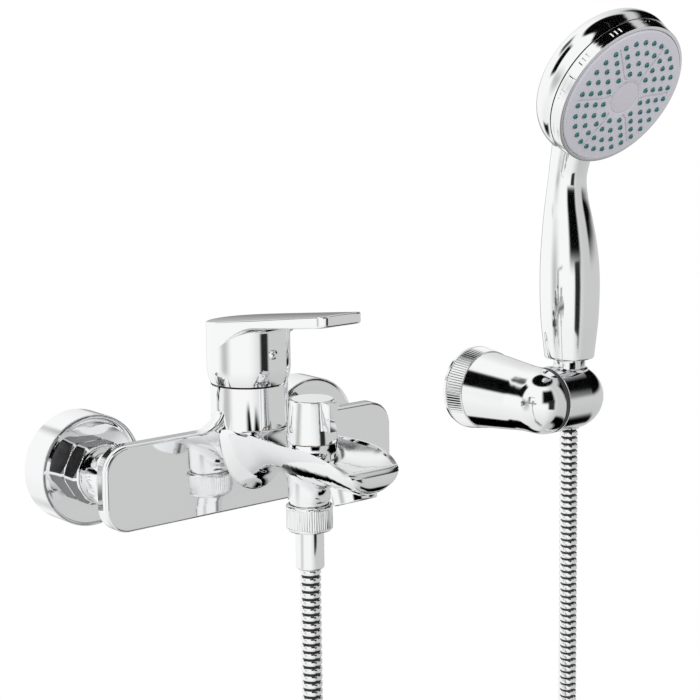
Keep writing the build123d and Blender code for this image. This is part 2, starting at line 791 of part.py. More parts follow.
with BuildPart() as aerator_insert:
    with BuildSketch(aerator_plane.offset(aerator_lip)):
        Circle(insert_radius)
    extrude(amount=aerator_length - aerator_lip)
    with BuildSketch(aerator_plane.offset(aerator_lip)):
        with GridLocations(aerator_pitch, aerator_pitch, 5, 5):
            Rectangle(aerator_wall, aerator_wall)
    extrude(amount=aerator_lip, mode=Mode.SUBTRACT)
aerator_insert.part.label = "aerator_insert"
export_step(aerator_insert.part, "parts/aerator_insert.step")

# Hose nut on the outlet's thread, the washer inside it and the ferrule below it
washer_bottom = outlet_thread_bottom - hose_washer_thickness
nut_height = hose_nut_top - hose_nut_bottom
with BuildPart() as hose_nut:
    with BuildSketch(Plane.XY.offset(hose_nut_bottom)):
        with Locations((0, -outlet_reach)):
            Circle(hose_nut_radius)
    extrude(amount=nut_height)
    chamfer(hose_nut.edges().filter_by(GeomType.CIRCLE), hose_nut_chamfer)
    with BuildSketch(Plane.XY.offset(hose_nut_bottom + hose_nut_knurl_margin)):
        with Locations((0, -outlet_reach)):
            with PolarLocations(hose_nut_radius, hose_nut_grooves):
                Rectangle(2 * hose_nut_knurl_depth, pi * hose_nut_radius / hose_nut_grooves)
    extrude(amount=nut_height - 2 * hose_nut_knurl_margin, mode=Mode.SUBTRACT)
    with BuildSketch(Plane.XY.offset(washer_bottom)):
        with Locations((0, -outlet_reach)):
            Circle(outlet_thread_radius + seat_gap)
    extrude(amount=hose_nut_top - washer_bottom, mode=Mode.SUBTRACT)
    with BuildSketch(Plane.XY.offset(hose_nut_bottom)):
        with Locations((0, -outlet_reach)):
            Circle(ferrule_radius + seat_gap)
    extrude(amount=nut_height, mode=Mode.SUBTRACT)
hose_nut.part.label = "hose_nut"
export_step(hose_nut.part, "parts/hose_nut.step")

with BuildPart() as hose_washer:
    with BuildSketch(Plane.XY.offset(washer_bottom)):
        with Locations((0, -outlet_reach)):
            Circle(outlet_thread_radius)
            Circle(outlet_bore, mode=Mode.SUBTRACT)
    extrude(amount=hose_washer_thickness)
hose_washer.part.label = "hose_washer"
export_step(hose_washer.part, "parts/hose_washer.step")

with BuildPart() as hose_ferrule:
    with BuildSketch(Plane.XY.offset(ferrule_bottom)):
        with Locations((0, -outlet_reach)):
            Circle(ferrule_radius)
    extrude(amount=washer_bottom - ferrule_bottom)
    fillet(hose_ferrule.faces().sort_by(Axis.Z)[0].edges(), ferrule_radius / 8)
    with BuildSketch(Plane.XY.offset(ferrule_bottom)):
        with Locations((0, -outlet_reach)):
            Circle(hose_bore)
    extrude(amount=washer_bottom - ferrule_bottom, mode=Mode.SUBTRACT)
hose_ferrule.part.label = "hose_ferrule"
export_step(hose_ferrule.part, "parts/hose_ferrule.step")

# Route of the hose: straight down from the ferrule, a quarter bend, a sway to the coil, its turns
# side by side, a sway and a quarter bend up to the bracket. The drop is what the length leaves over
hose_start = ferrule_bottom
hose_end = bracket_z - hose_tail_end_radius - moving_gap
mixer_ribs_bottom = hose_start - mixer_ribs * hose_pitch
bracket_ribs_bottom = hose_end - bracket_ribs * hose_pitch
coil_x = handset_x / 2
coil_middle = (outlet_reach + handset_reach) / 2
coil_lead = 2 * hose_radius
coil_start_reach = coil_middle + coil_turns * coil_pitch / 2
coil_end_reach = coil_middle - coil_turns * coil_pitch / 2
coil_start_x = coil_x - coil_lead
coil_end_x = coil_x + coil_lead
right_bend_x = handset_x - hose_bend_radius
half_turn_chord = Vector(0, coil_pitch / 2, 2 * coil_radius).length
half_turn_length = pi * half_turn_chord / 2


def sway_length(run, shift):
    """Length of two like arcs that carry a run sideways, parallel to itself."""
    angle = 2 * asin(shift / Vector(run, shift).length)
    return angle * Vector(run, shift).length / 2 / sin(angle / 2)


left_sway = sway_length(coil_start_x - hose_bend_radius, outlet_reach - coil_start_reach)
right_sway = sway_length(right_bend_x - coil_end_x, coil_end_reach - handset_reach)
quarter_bend = pi * hose_bend_radius / 2
fixed_length = left_sway + right_sway + 2 * quarter_bend + 2 * coil_lead + 2 * coil_turns * half_turn_length
bend_top = (hose_start + hose_end - (hose_length - fixed_length)) / 2
hose_bottom = bend_top - hose_bend_radius


def biarc(start, start_tangent, end, end_tangent):
    """Middle point of two tangent arcs of equal tangent length, and the direction there."""
    chord = end - start
    if start_tangent.dot(end_tangent) > 0:
        reach = chord.dot(chord) / (4 * chord.dot(start_tangent))
    else:
        reach = chord.length / 2
    first = start + start_tangent * reach
    second = end - end_tangent * reach
    return (first + second) / 2, (second - first).normalized()


right = Vector(1, 0, 0)
left = Vector(-1, 0, 0)
up = Vector(0, 0, 1)
left_bend_end = Vector(hose_bend_radius, -outlet_reach, hose_bottom)
coil_start = Vector(coil_start_x, -coil_start_reach, hose_bottom)
coil_end = Vector(coil_end_x, -coil_end_reach, hose_bottom)
right_bend_start = Vector(right_bend_x, -handset_reach, hose_bottom)
left_middle, left_heading = biarc(left_bend_end, right, coil_start, right)
right_middle, right_heading = biarc(coil_end, right, right_bend_start, right)

with BuildPart() as hose_left_bend:
    with BuildLine() as left_route:
        Line((0, -outlet_reach, mixer_ribs_bottom), (0, -outlet_reach, bend_top))
        TangentArc((0, -outlet_reach, bend_top), left_bend_end, tangent=-up)
        TangentArc(left_bend_end, left_middle, tangent=right)
        TangentArc(left_middle, coil_start, tangent=left_heading)
    with BuildSketch(Plane(origin=(0, -outlet_reach, mixer_ribs_bottom), z_dir=(0, 0, -1))):
        Circle(hose_radius)
    sweep()
hose_left_bend.part.label = "hose_left_bend"
export_step(hose_left_bend.part, "parts/hose_left_bend.step")

coil_points = [Vector(coil_x, -coil_start_reach, hose_bottom)]
for half_turn in range(1, 2 * coil_turns + 1):
    height = hose_bottom + 2 * coil_radius * (half_turn % 2)
    coil_points.append(Vector(coil_x, -coil_start_reach + half_turn * coil_pitch / 2, height))
with BuildPart() as hose_coil:
    with BuildLine() as coil_route:
        Line(coil_start, coil_points[0])
        heading = right
        for start, end in zip(coil_points[:-1], coil_points[1:]):
            middle, middle_heading = biarc(start, heading, end, -heading)
            TangentArc(start, middle, tangent=heading)
            TangentArc(middle, end, tangent=middle_heading)
            heading = -heading
        Line(coil_points[-1], coil_end)
    with BuildSketch(Plane(origin=coil_start, z_dir=right)):
        Circle(hose_radius)
    sweep()
hose_coil.part.label = "hose_coil"
export_step(hose_coil.part, "parts/hose_coil.step")

with BuildPart() as hose_right_bend:
    with BuildLine() as right_route:
        TangentArc(coil_end, right_middle, tangent=right)
        TangentArc(right_middle, right_bend_start, tangent=right_heading)
        TangentArc(right_bend_start, (handset_x, -handset_reach, bend_top), tangent=right)
        Line((handset_x, -handset_reach, bend_top), (handset_x, -handset_reach, bracket_ribs_bottom))
    with BuildSketch(Plane(origin=coil_end, z_dir=right)):
        Circle(hose_radius)
    sweep()
hose_right_bend.part.label = "hose_right_bend"
export_step(hose_right_bend.part, "parts/hose_right_bend.step")

# Ribbed stretches: each rib rises from its groove to its crest and falls to the next groove
groove_radius = hose_radius - hose_groove_depth
rib_profile = [
    (0, groove_radius),
    (hose_flank, hose_radius),
    (hose_pitch - hose_flank * back_flank_share, hose_radius),
    (hose_pitch - hose_flank / 2, groove_radius),
]
for name, x, reach, bottom, ribs in (
    ("hose_mixer_drop", 0, outlet_reach, mixer_ribs_bottom, mixer_ribs),
    ("hose_bracket_drop", handset_x, handset_reach, bracket_ribs_bottom, bracket_ribs),
):
    top = bottom + ribs * hose_pitch
    rib_points = [
        (radius, bottom + rib * hose_pitch + rise) for rib in range(ribs) for rise, radius in rib_profile
    ]
    with BuildPart() as hose_drop:
        with BuildSketch(Plane(origin=(x, -reach, 0), x_dir=(1, 0, 0), z_dir=(0, -1, 0))):
            with BuildLine():
                Polyline((hose_bore, bottom), *rib_points, (groove_radius, top), (hose_bore, top), close=True)
            make_face()
        revolve(axis=Axis((x, -reach, 0), (0, 0, 1)))
    hose_drop.part.label = name
    export_step(hose_drop.part, f"parts/{name}.step")

section = pi * hose_radius**2
for name, route, tube in (
    ("left bend", left_route, hose_left_bend),
    ("coil", coil_route, hose_coil),
    ("right bend", right_route, hose_right_bend),
):
    run = route.wire().length
    radii = sorted({round(edge.radius, 1) for edge in route.edges() if edge.geom_type == GeomType.CIRCLE})
    print(name, "length", round(run, 1), "radii", radii, "volume share", round(tube.part.volume / section / run, 4))
coil_wire = coil_route.wire()
coil_samples = [coil_wire.position_at(step / 720) for step in range(721)]
coil_gap = min(
    (coil_samples[one] - coil_samples[two]).length - 2 * hose_radius
    for one in range(721)
    for two in range(one + 90, 721)
)
print("least gap of the coil to itself", round(coil_gap, 2))
route_length = left_route.wire().length + coil_wire.length + right_route.wire().length
print("hose length", round(route_length + (mixer_ribs + bracket_ribs) * hose_pitch, 1))

# Wall bracket: plate with two screws, knurled rose, arm
bracket_axis = Axis((bracket_x, 0, bracket_z), (0, 1, 0))
bracket_plane = Plane(origin=(bracket_x, 0, bracket_z))
bracket_face = Plane(origin=(bracket_x, 0, bracket_z), x_dir=(1, 0, 0), z_dir=(0, -1, 0))
with BuildPart() as bracket_plate:
    with BuildSketch(bracket_face):
        Circle(bracket_plate_radius)
        with Locations((0, wall_screw_spacing / 2), (0, -wall_screw_spacing / 2)):
            Circle(wall_screw_radius + seat_gap, mode=Mode.SUBTRACT)
    extrude(amount=bracket_plate_thickness)
bracket_plate.part.label = "bracket_plate"
export_step(bracket_plate.part, "parts/bracket_plate.step")

for side, shift in (("upper", wall_screw_spacing / 2), ("lower", -wall_screw_spacing / 2)):
    with BuildPart() as wall_screw:
        with BuildSketch(bracket_face.offset(bracket_plate_thickness)):
            with Locations((0, shift)):
                Circle(wall_screw_head_radius)
        extrude(amount=wall_screw_head)
        with BuildSketch(bracket_face.offset(bracket_plate_thickness)):
            with Locations((0, shift)):
                Circle(wall_screw_radius)
        extrude(amount=-wall_screw_length)
    wall_screw.part.label = f"wall_screw_{side}"
    export_step(wall_screw.part, f"parts/wall_screw_{side}.step")

knurl_length = rose_front - rose_foot
with BuildPart() as bracket_rose:
    with BuildSketch(bracket_plane):
        with BuildLine():
            Polyline(
                (rose_inner_radius, 0),
                (rose_radius, 0),
                (rose_radius, -rose_foot),
                (knurl_radius, -rose_foot),
                (knurl_front_radius, -rose_front),
                (rose_inner_radius, -rose_front),
                close=True,
            )
        make_face()
    revolve(axis=bracket_axis)
    with BuildSketch(bracket_face.offset(rose_foot + knurl_depth)):
        with PolarLocations(knurl_radius, knurl_grooves):
            Rectangle(2 * knurl_depth, pi * knurl_radius / knurl_grooves)
    extrude(amount=knurl_length - 2 * knurl_depth, mode=Mode.SUBTRACT)
bracket_rose.part.label = "bracket_rose"
export_step(bracket_rose.part, "parts/bracket_rose.step")

screw_depth_share = 0.7
arm_hollow_start = bracket_plate_thickness
# The arm ends in a ball that is cut flat at the seam, and hollowed round the turning holder
with BuildPart() as bracket_arm:
    with BuildSketch(bracket_plane):
        with BuildLine():
            Polyline(
                (swivel_radius, -swivel_reach),
                (arm_front_radius, -arm_front),
                (arm_back_radius, -arm_back),
                (rose_inner_radius - seat_gap, -arm_back),
                (rose_inner_radius - seat_gap, -bracket_plate_thickness),
                (0, -bracket_plate_thickness),
                (0, -swivel_reach - swivel_radius),
            )
            CenterArc((0, -swivel_reach), swivel_radius, 270, 90)
        make_face()
    revolve(axis=bracket_axis)
    with BuildSketch(bracket_plane):
        with BuildLine():
            Polyline(
                (0, -arm_hollow_start),
                (bracket_plate_radius, -arm_hollow_start),
                (bracket_plate_radius, -arm_back),
                (arm_front_radius - arm_wall, -arm_front + arm_wall),
                (0, -arm_front + arm_wall),
                close=True,
            )
        make_face()
    revolve(axis=bracket_axis, mode=Mode.SUBTRACT)
    with BuildSketch(Plane.YZ.offset(seam_x)):
        with Locations((-swivel_reach, bracket_z)):
            Circle(swivel_radius + moving_gap)
    extrude(amount=arm_back_radius + overrun, mode=Mode.SUBTRACT)
    with BuildSketch(Plane.YZ.offset(seam_x - swivel_radius * screw_depth_share)):
        with Locations((-swivel_reach, bracket_z)):
            Circle(swivel_screw_radius + seat_gap)
    extrude(amount=swivel_radius * screw_depth_share, mode=Mode.SUBTRACT)
bracket_arm.part.label = "bracket_arm"
export_step(bracket_arm.part, "parts/bracket_arm.step")

with BuildPart() as bracket_washer:
    with BuildSketch(Plane.YZ.offset(seam_x)):
        with Locations((-swivel_reach, bracket_z)):
            Circle(swivel_radius)
            Circle(swivel_screw_radius + seat_gap, mode=Mode.SUBTRACT)
    extrude(amount=washer_thickness)
bracket_washer.part.label = "bracket_washer"
export_step(bracket_washer.part, "parts/bracket_washer.step")

# Holder: a stub with a rounded end and a conical socket for the handset, open in front for the hose
holder_back = seam_x + washer_thickness + moving_gap
cone_slope = (cone_top_radius - cone_bottom_radius) / (cone_top_height - cone_bottom)
swivel_screw_end = handset_x - cone_top_radius - 2 * overrun
socket_reach_up = swivel_radius + overrun
socket_top = bracket_z + socket_reach_up
socket_bottom_end = bracket_z - socket_reach_up
socket_top_radius = cone_top_radius + moving_gap + cone_slope * (socket_top - cone_top_height)
socket_foot_radius = cone_bottom_radius + moving_gap + cone_slope * (socket_bottom_end - cone_bottom)
with BuildPart() as swivel_screw:
    with BuildSketch(Plane.YZ.offset(seam_x - swivel_radius * screw_depth_share)):
        with Locations((-swivel_reach, bracket_z)):
            Circle(swivel_screw_radius)
    extrude(amount=swivel_screw_end - seam_x + swivel_radius * screw_depth_share)
swivel_screw.part.label = "swivel_screw"
export_step(swivel_screw.part, "parts/swivel_screw.step")

with BuildPart() as bracket_holder:
    with BuildSketch(Plane(origin=(0, -swivel_reach, bracket_z), x_dir=(1, 0, 0), z_dir=(0, -1, 0))):
        with BuildLine():
            Polyline((handset_x, swivel_radius), (holder_back, swivel_radius), (holder_back, 0), (holder_end_x, 0))
            EllipticalCenterArc((handset_x, 0), holder_end_x - handset_x, swivel_radius, 0, arc_size=90)
        make_face()
    revolve(axis=Axis((0, -swivel_reach, bracket_z), (1, 0, 0)))
    with BuildSketch(Plane(origin=(handset_x, -handset_reach, 0), x_dir=(1, 0, 0), z_dir=(0, -1, 0))):
        with BuildLine():
            Polyline(
                (0, socket_bottom_end),
                (socket_foot_radius, socket_bottom_end),
                (socket_top_radius, socket_top),
                (0, socket_top),
                close=True,
            )
        make_face()
    revolve(axis=Axis((handset_x, -handset_reach, 0), (0, 0, 1)), mode=Mode.SUBTRACT)
    with BuildSketch(Plane.XY.offset(socket_bottom_end)):
        with Locations((handset_x + swivel_radius, -handset_reach)):
            Rectangle(2 * swivel_radius, socket_slot_width)
    extrude(amount=socket_top - socket_bottom_end, mode=Mode.SUBTRACT)
    with BuildSketch(Plane.YZ.offset(holder_back)):
        with Locations((-swivel_reach, bracket_z)):
            Circle(swivel_screw_radius + seat_gap)
    extrude(amount=swivel_screw_end - holder_back + moving_gap, mode=Mode.SUBTRACT)
bracket_holder.part.label = "bracket_holder"
export_step(bracket_holder.part, "parts/bracket_holder.step")

# Cone nut that hangs in the socket, and the hose's own tail below it
handset_axis = Axis((handset_x, -handset_reach, 0), (0, 0, 1))
handset_face = Plane(origin=(handset_x, -handset_reach, 0), x_dir=(1, 0, 0), z_dir=(0, -1, 0))
spigot_top = cone_top + cone_spigot_length
with BuildPart() as hose_cone_nut:
    with BuildSketch(handset_face):
        with BuildLine():
            Polyline(
                (cone_bore, cone_bottom),
                (cone_bottom_radius, cone_bottom),
                (cone_top_radius, cone_top_height),
                (cone_collar_radius, cone_collar_bottom),
                (cone_collar_radius, cone_top),
                (cone_spigot_radius, cone_top),
                (cone_spigot_radius, spigot_top),
                (cone_bore, spigot_top),
                close=True,
            )
        make_face()
    revolve(axis=handset_axis)
hose_cone_nut.part.label = "hose_cone_nut"
export_step(hose_cone_nut.part, "parts/hose_cone_nut.step")

with BuildPart() as hose_tail:
    with BuildSketch(Plane.XY.offset(bracket_z - hose_tail_end_radius)):
        with Locations((handset_x, -handset_reach)):
            Circle(hose_tail_radius)
            Circle(cone_bore, mode=Mode.SUBTRACT)
    extrude(amount=cone_bottom - bracket_z + hose_tail_end_radius)
    with Locations((handset_x, -swivel_reach, bracket_z)):
        Sphere(hose_tail_end_radius, mode=Mode.INTERSECT)
hose_tail.part.label = "hose_tail"
export_step(hose_tail.part, "parts/hose_tail.step")

# Handset. The handle is a loft of round sections whose heights, radii and lean follow the photograph
head_lean = radians(head_tilt)
head_centre = (handset_x, -head_reach, head_height)
head_plane = Plane(origin=head_centre, x_dir=(1, 0, 0), z_dir=(0, cos(head_lean), sin(head_lean)))
head_section = Plane(origin=head_centre, x_dir=(1, 0, 0), z_dir=(0, -sin(head_lean), cos(head_lean)))
head_axis = Axis(head_centre, (0, cos(head_lean), sin(head_lean)))
neck_height = head_height - neck_drop
handle_length = neck_height - handle_bottom
height_shares = [0, 0.097, 0.208, 0.32, 0.432, 0.551, 0.662, 0.774, 0.893, 1.0]
grip_shares = [0.825, 0.89, 0.96, 0.992, 1.0, 0.973, 0.91, 0.82, 0.705, 0.635, 0.66, 0.7, 0.62]
drift_shares = [0, 0, 0, 0, 0, 0.02, 0.05, 0.1, 0.15, 0.13, 0.0, -0.22, -0.75]
lean_shares = [0, 0, 0, 0, 0, 0, 0, 0, 0.05, 0.2, 0.45, 0.7, 1.0]
first_hollow = 3
section_heights = [handle_bottom + handle_length * share for share in height_shares]
section_heights += [head_height - drop for drop in flare_drops]
shell_shares = [(0.979, 0.258), (1.0, 0.44), (0.957, 0.644), (0.864, 0.784), (0.7, 0.877), (0.37, 0.973), (0, 1.0)]
shell_profile = [(shell_radius * across, shell_depth * back) for across, back in shell_shares]
section_planes = [
    Plane(
        origin=(handset_x, grip_radius * drift_share - handset_reach, height),
        x_dir=(1, 0, 0),
        z_dir=(0, -sin(head_lean * lean_share), cos(head_lean * lean_share)),
    )
    for height, drift_share, lean_share in zip(section_heights, drift_shares, lean_shares)
]
chamber_profile = [
    (chamber_radius * across, (shell_depth - shell_wall) * back) for across, back in shell_shares
]
with BuildPart() as handset_shell:
    for plane, grip_share in zip(section_planes, grip_shares):
        with BuildSketch(plane):
            Circle(grip_radius * grip_share)
    loft()
    with BuildSketch(head_section):
        with BuildLine():
            Spline(*shell_profile, tangents=[(0, 1), (-1, 0)])
            Polyline(shell_profile[-1], (0, shell_profile[0][1]), shell_profile[0])
        make_face()
    revolve(axis=head_axis)
    with BuildSketch(head_plane.offset(-overrun)):
        Circle(ring_radius + moving_gap)
    extrude(amount=shell_start + overrun, mode=Mode.SUBTRACT)
    # Hollow for the water: a chamber behind the nozzle mat, the handle's inside and the hose's socket
    with BuildSketch(head_section):
        with BuildLine():
            Spline(*chamber_profile, tangents=[(0, 1), (-1, 0)])
            Polyline(
                chamber_profile[-1],
                (0, shell_start - overrun),
                (chamber_profile[0][0], shell_start - overrun),
                chamber_profile[0],
            )
        make_face()
    revolve(axis=head_axis, mode=Mode.SUBTRACT)
    for plane, grip_share in zip(section_planes[first_hollow:], grip_shares[first_hollow:]):
        with BuildSketch(plane):
            Circle(grip_radius * grip_share - shell_wall)
    loft(mode=Mode.SUBTRACT)
    with BuildSketch(Plane.XY.offset(handle_bottom)):
        with Locations((handset_x, -handset_reach)):
            Circle(cone_spigot_radius + seat_gap)
    extrude(amount=spigot_top - handle_bottom + moving_gap, mode=Mode.SUBTRACT)
    with BuildSketch(Plane.XY.offset(handle_bottom)):
        with Locations((handset_x, -handset_reach)):
            Circle(cone_bore)
    extrude(amount=section_heights[first_hollow] - handle_bottom + overrun, mode=Mode.SUBTRACT)
handset_shell.part.label = "handset_shell"
export_step(handset_shell.part, "parts/handset_shell.step")

with BuildPart() as spray_ring:
    with BuildSketch(head_section):
        with BuildLine():
            Polyline(
                (face_radius + 2 * seat_gap, ring_start),
                (ring_front_radius, ring_start),
                (ring_radius, ring_end),
                (face_radius + 2 * seat_gap, ring_end),
                close=True,
            )
        make_face()
    revolve(axis=head_axis)
    with BuildSketch(head_plane.offset(ring_mark_start)):
        for turn in (-ring_mark_spacing, 0, ring_mark_spacing):
            with PolarLocations(ring_radius, ring_mark_groups, start_angle=turn):
                Rectangle(2 * ring_mark_depth, ring_mark_width)
    extrude(amount=ring_mark_length, mode=Mode.SUBTRACT)
    with BuildSketch(head_plane.offset(ring_start + ring_mark_depth)):
        with PolarLocations(ring_radius, 1, start_angle=ring_pointer_turn):
            Rectangle(2 * ring_mark_depth, ring_mark_width)
    extrude(amount=ring_end - ring_start - 2 * ring_mark_depth, mode=Mode.SUBTRACT)
spray_ring.part.label = "spray_ring"
export_step(spray_ring.part, "parts/spray_ring.step")

# Face plate: a shallow crowned cup with a hole for each nozzle and a recess for the centre disc
crown_radius = face_radius - face_edge
crown_ball_radius = (crown_radius**2 + face_crown**2) / (2 * face_crown)
groove_points = [
    (radius * cos(radians(turn)), radius * sin(radians(turn))) for radius, turn in zip(groove_radii, groove_turns)
]
with BuildSketch() as groove:
    with BuildLine():
        Spline(*groove_points)
    trace(line_width=groove_width)
with BuildPart() as face_grooves:
    with BuildSketch(head_section):
        with BuildLine():
            RadiusArc((0, groove_depth - face_crown), (crown_radius, groove_depth), -crown_ball_radius)
            Polyline(
                (crown_radius, groove_depth),
                (crown_radius, -face_crown - overrun),
                (0, -face_crown - overrun),
                (0, groove_depth - face_crown),
            )
        make_face()
    revolve(axis=head_axis)
    with BuildSketch(head_plane.offset(-face_crown - overrun)):
        with PolarLocations(0, sectors):
            add(groove.sketch)
    extrude(amount=face_crown + overrun + groove_depth, mode=Mode.INTERSECT)

with BuildPart() as face_plate:
    with BuildSketch(head_section):
        with BuildLine():
            RadiusArc((0, -face_crown), (crown_radius, 0), -crown_ball_radius)
            CenterArc((crown_radius, face_edge), face_edge, 270, 90)
            Polyline(
                (face_radius, face_edge),
                (face_radius, shell_start),
                (face_radius - face_skirt, shell_start),
                (face_radius - face_skirt, face_thickness),
                (0, face_thickness),
                (0, -face_crown),
            )
        make_face()
    revolve(axis=head_axis)
    with BuildSketch(head_plane.offset(-face_crown - overrun)):
        for radius, count, phase in zip(nozzle_ring_radii, nozzles_per_sector, nozzle_phases):
            with PolarLocations(radius, count * sectors, start_angle=-phase):
                Circle(nozzle_radius)
    extrude(amount=face_crown + face_thickness + 2 * overrun, mode=Mode.SUBTRACT)
    with BuildSketch(head_plane.offset(centre_disc_depth)):
        Circle(centre_disc_radius)
    extrude(amount=-face_crown - centre_disc_depth - overrun, mode=Mode.SUBTRACT)
    add(face_grooves.part, mode=Mode.SUBTRACT)
face_plate.part.label = "face_plate"
export_step(face_plate.part, "parts/face_plate.step")

with BuildPart() as nozzle_mat:
    with BuildSketch(head_plane.offset(face_thickness)):
        Circle(face_radius - face_skirt)
    extrude(amount=shell_start - face_thickness)
    for radius, count, phase in zip(nozzle_ring_radii, nozzles_per_sector, nozzle_phases):
        crown_here = face_crown * (1 - (radius / crown_radius) ** 2)
        with BuildSketch(head_plane.offset(-crown_here - nozzle_height)):
            with PolarLocations(radius, count * sectors, start_angle=-phase):
                Circle(nozzle_radius)
        extrude(amount=crown_here + nozzle_height + face_thickness)
nozzle_mat.part.label = "nozzle_mat"
export_step(nozzle_mat.part, "parts/nozzle_mat.step")

with BuildPart() as centre_disc:
    with BuildSketch(head_plane.offset(centre_disc_depth)):
        Circle(centre_disc_radius)
    extrude(amount=-centre_disc_depth - face_crown)
centre_disc.part.label = "centre_disc"
export_step(centre_disc.part, "parts/centre_disc.step")
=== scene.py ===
# %% [markdown]
# Bath mixer with a shower set, dressed for its portrait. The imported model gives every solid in
# metres: +Z is up, the wall is the plane Y = 0 and everything stands out of it towards -Y. This
# lesson gives each piece its finish, and makes the smooth chrome skins that facets can't give.

# %% The frame
import json

import bmesh
import bpy
import numpy as np
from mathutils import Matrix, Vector


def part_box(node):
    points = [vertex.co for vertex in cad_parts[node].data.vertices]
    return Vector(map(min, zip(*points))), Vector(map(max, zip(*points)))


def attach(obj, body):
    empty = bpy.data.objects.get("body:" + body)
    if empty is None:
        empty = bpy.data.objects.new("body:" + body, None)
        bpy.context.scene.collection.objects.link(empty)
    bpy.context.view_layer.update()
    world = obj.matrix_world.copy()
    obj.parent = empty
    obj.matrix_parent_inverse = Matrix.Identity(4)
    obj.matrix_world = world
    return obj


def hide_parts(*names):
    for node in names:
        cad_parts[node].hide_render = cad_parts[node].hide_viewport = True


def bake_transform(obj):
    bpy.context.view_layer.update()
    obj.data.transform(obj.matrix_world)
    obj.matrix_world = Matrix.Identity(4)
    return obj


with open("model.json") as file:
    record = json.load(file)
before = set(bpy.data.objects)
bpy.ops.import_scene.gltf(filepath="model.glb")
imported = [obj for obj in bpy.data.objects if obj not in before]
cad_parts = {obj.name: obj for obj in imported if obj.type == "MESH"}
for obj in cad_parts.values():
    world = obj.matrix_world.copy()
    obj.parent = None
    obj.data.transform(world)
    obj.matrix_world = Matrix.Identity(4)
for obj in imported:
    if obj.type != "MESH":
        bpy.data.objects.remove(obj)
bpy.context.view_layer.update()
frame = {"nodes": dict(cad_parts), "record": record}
MM = 0.001
print(len(frame["nodes"]), "solids in the frame")

# %% [markdown]
# The photograph was taken with a long lens from a little above, so its uprights hardly lean. A
# camera with a large shift could keep them quite upright, but it would lose the part in other
# views. So the camera tips down by a few degrees, and a small shift does the rest.

# %% Camera
CAMERA_PLACE = (-0.5751, -0.8657, 0.2405)
CAMERA_TURN = np.radians((81.459, 0.689, -38.888))
LENS, SENSOR_WIDTH = 95.08, 36
SHIFT_DOWN = -0.08


def place_object(name, data, place=(0, 0, 0), turn=(0, 0, 0)):
    """A new object in the scene for a mesh, a lamp or a camera."""
    thing = bpy.data.objects.new(name, data)
    thing.location = place
    thing.rotation_euler = turn
    bpy.context.scene.collection.objects.link(thing)
    return thing


camera_data = bpy.data.cameras.new("camera")
camera_data.lens = LENS
camera_data.sensor_width = SENSOR_WIDTH
camera_data.shift_y = SHIFT_DOWN
bpy.context.scene.camera = place_object("camera", camera_data, CAMERA_PLACE, CAMERA_TURN)
bpy.context.scene.view_settings.view_transform = "Standard"
print("camera with a lens of", LENS, "mm")

# %% [markdown]
# The studio and the finishes are both trees of nodes. A tree could be drawn by hand in the shader
# editor; small helpers write it instead, so that each line below reads as one step of a sum.

# %% Helpers for node trees
def feed(tree, socket, value):
    """Gives a socket a number, or links another node's output to it."""
    if isinstance(value, (int, float)):
        socket.default_value = value
    else:
        tree.links.new(value, socket)


def math_node(tree, operation, *values):
    """Output of a math node."""
    node = tree.nodes.new("ShaderNodeMath")
    node.operation = operation
    for socket, value in zip(node.inputs, values):
        feed(tree, socket, value)
    return node.outputs[0]


def map_range(tree, value, source, target=(0.0, 1.0), kind="LINEAR"):
    """Output of a node that carries a value from the source span to the target span."""
    node = tree.nodes.new("ShaderNodeMapRange")
    node.interpolation_type = kind
    names = ("Value", "From Min", "From Max", "To Min", "To Max")
    for name, number in zip(names, (value, *source, *target)):
        feed(tree, node.inputs[name], number)
    return node.outputs["Result"]


def mix_values(tree, share, first, second):
    """Output of a node that goes from the first value to the second as the share rises to 1."""
    node = tree.nodes.new("ShaderNodeMix")
    node.data_type = "FLOAT"
    for name, value in (("Factor", share), ("A", first), ("B", second)):
        feed(tree, node.inputs[name], value)
    return node.outputs["Result"]


def float_group(name, inputs, outputs):
    """An empty node group of plain values, with the sockets of its input and its output node."""
    group = bpy.data.node_groups.new(name, "ShaderNodeTree")
    for way, socket_names in (("INPUT", inputs), ("OUTPUT", outputs)):
        for socket_name in socket_names:
            group.interface.new_socket(socket_name, in_out=way, socket_type="NodeSocketFloat")
    return group, group.nodes.new("NodeGroupInput").outputs, group.nodes.new("NodeGroupOutput").inputs


# %% [markdown]
# Chrome shows its surroundings, so the studio is part of the finish. The room is white, with a
# few dark cards in it. They could be boards on stands, but a patch of sky between two headings and
# two heights, with soft edges, is seen alike by every piece and throws no shadow. The group below
# returns how much of one card a direction sees.

# %% A dark card in the studio
CARD_SOCKETS = ("Card heading", "Half width", "Low", "High", "Soft")


def card_group():
    """Mask of a card: soft steps in heading and in height, multiplied."""
    group, given, result = float_group("studio card", ("Heading", "Height", *CARD_SOCKETS), ("Mask",))

    def soft_step(distance):
        """0 outside, 1 inside, over the softness on either side of the edge."""
        share = math_node(group, "DIVIDE", distance, given["Soft"])
        return map_range(group, share, (-1, 1), kind="SMOOTHSTEP")

    turn = math_node(group, "SUBTRACT", given["Heading"], given["Card heading"])
    turn = math_node(group, "ABSOLUTE", math_node(group, "WRAP", turn, np.pi, -np.pi))
    across = soft_step(math_node(group, "SUBTRACT", given["Half width"], turn))
    above = soft_step(math_node(group, "SUBTRACT", given["Height"], given["Low"]))
    below = soft_step(math_node(group, "SUBTRACT", given["High"], given["Height"]))
    mask = math_node(group, "MULTIPLY", across, math_node(group, "MULTIPLY", above, below))
    group.links.new(mask, result["Mask"])
    return group


card_mask = card_group()
print("card group with", len(card_mask.nodes), "nodes")

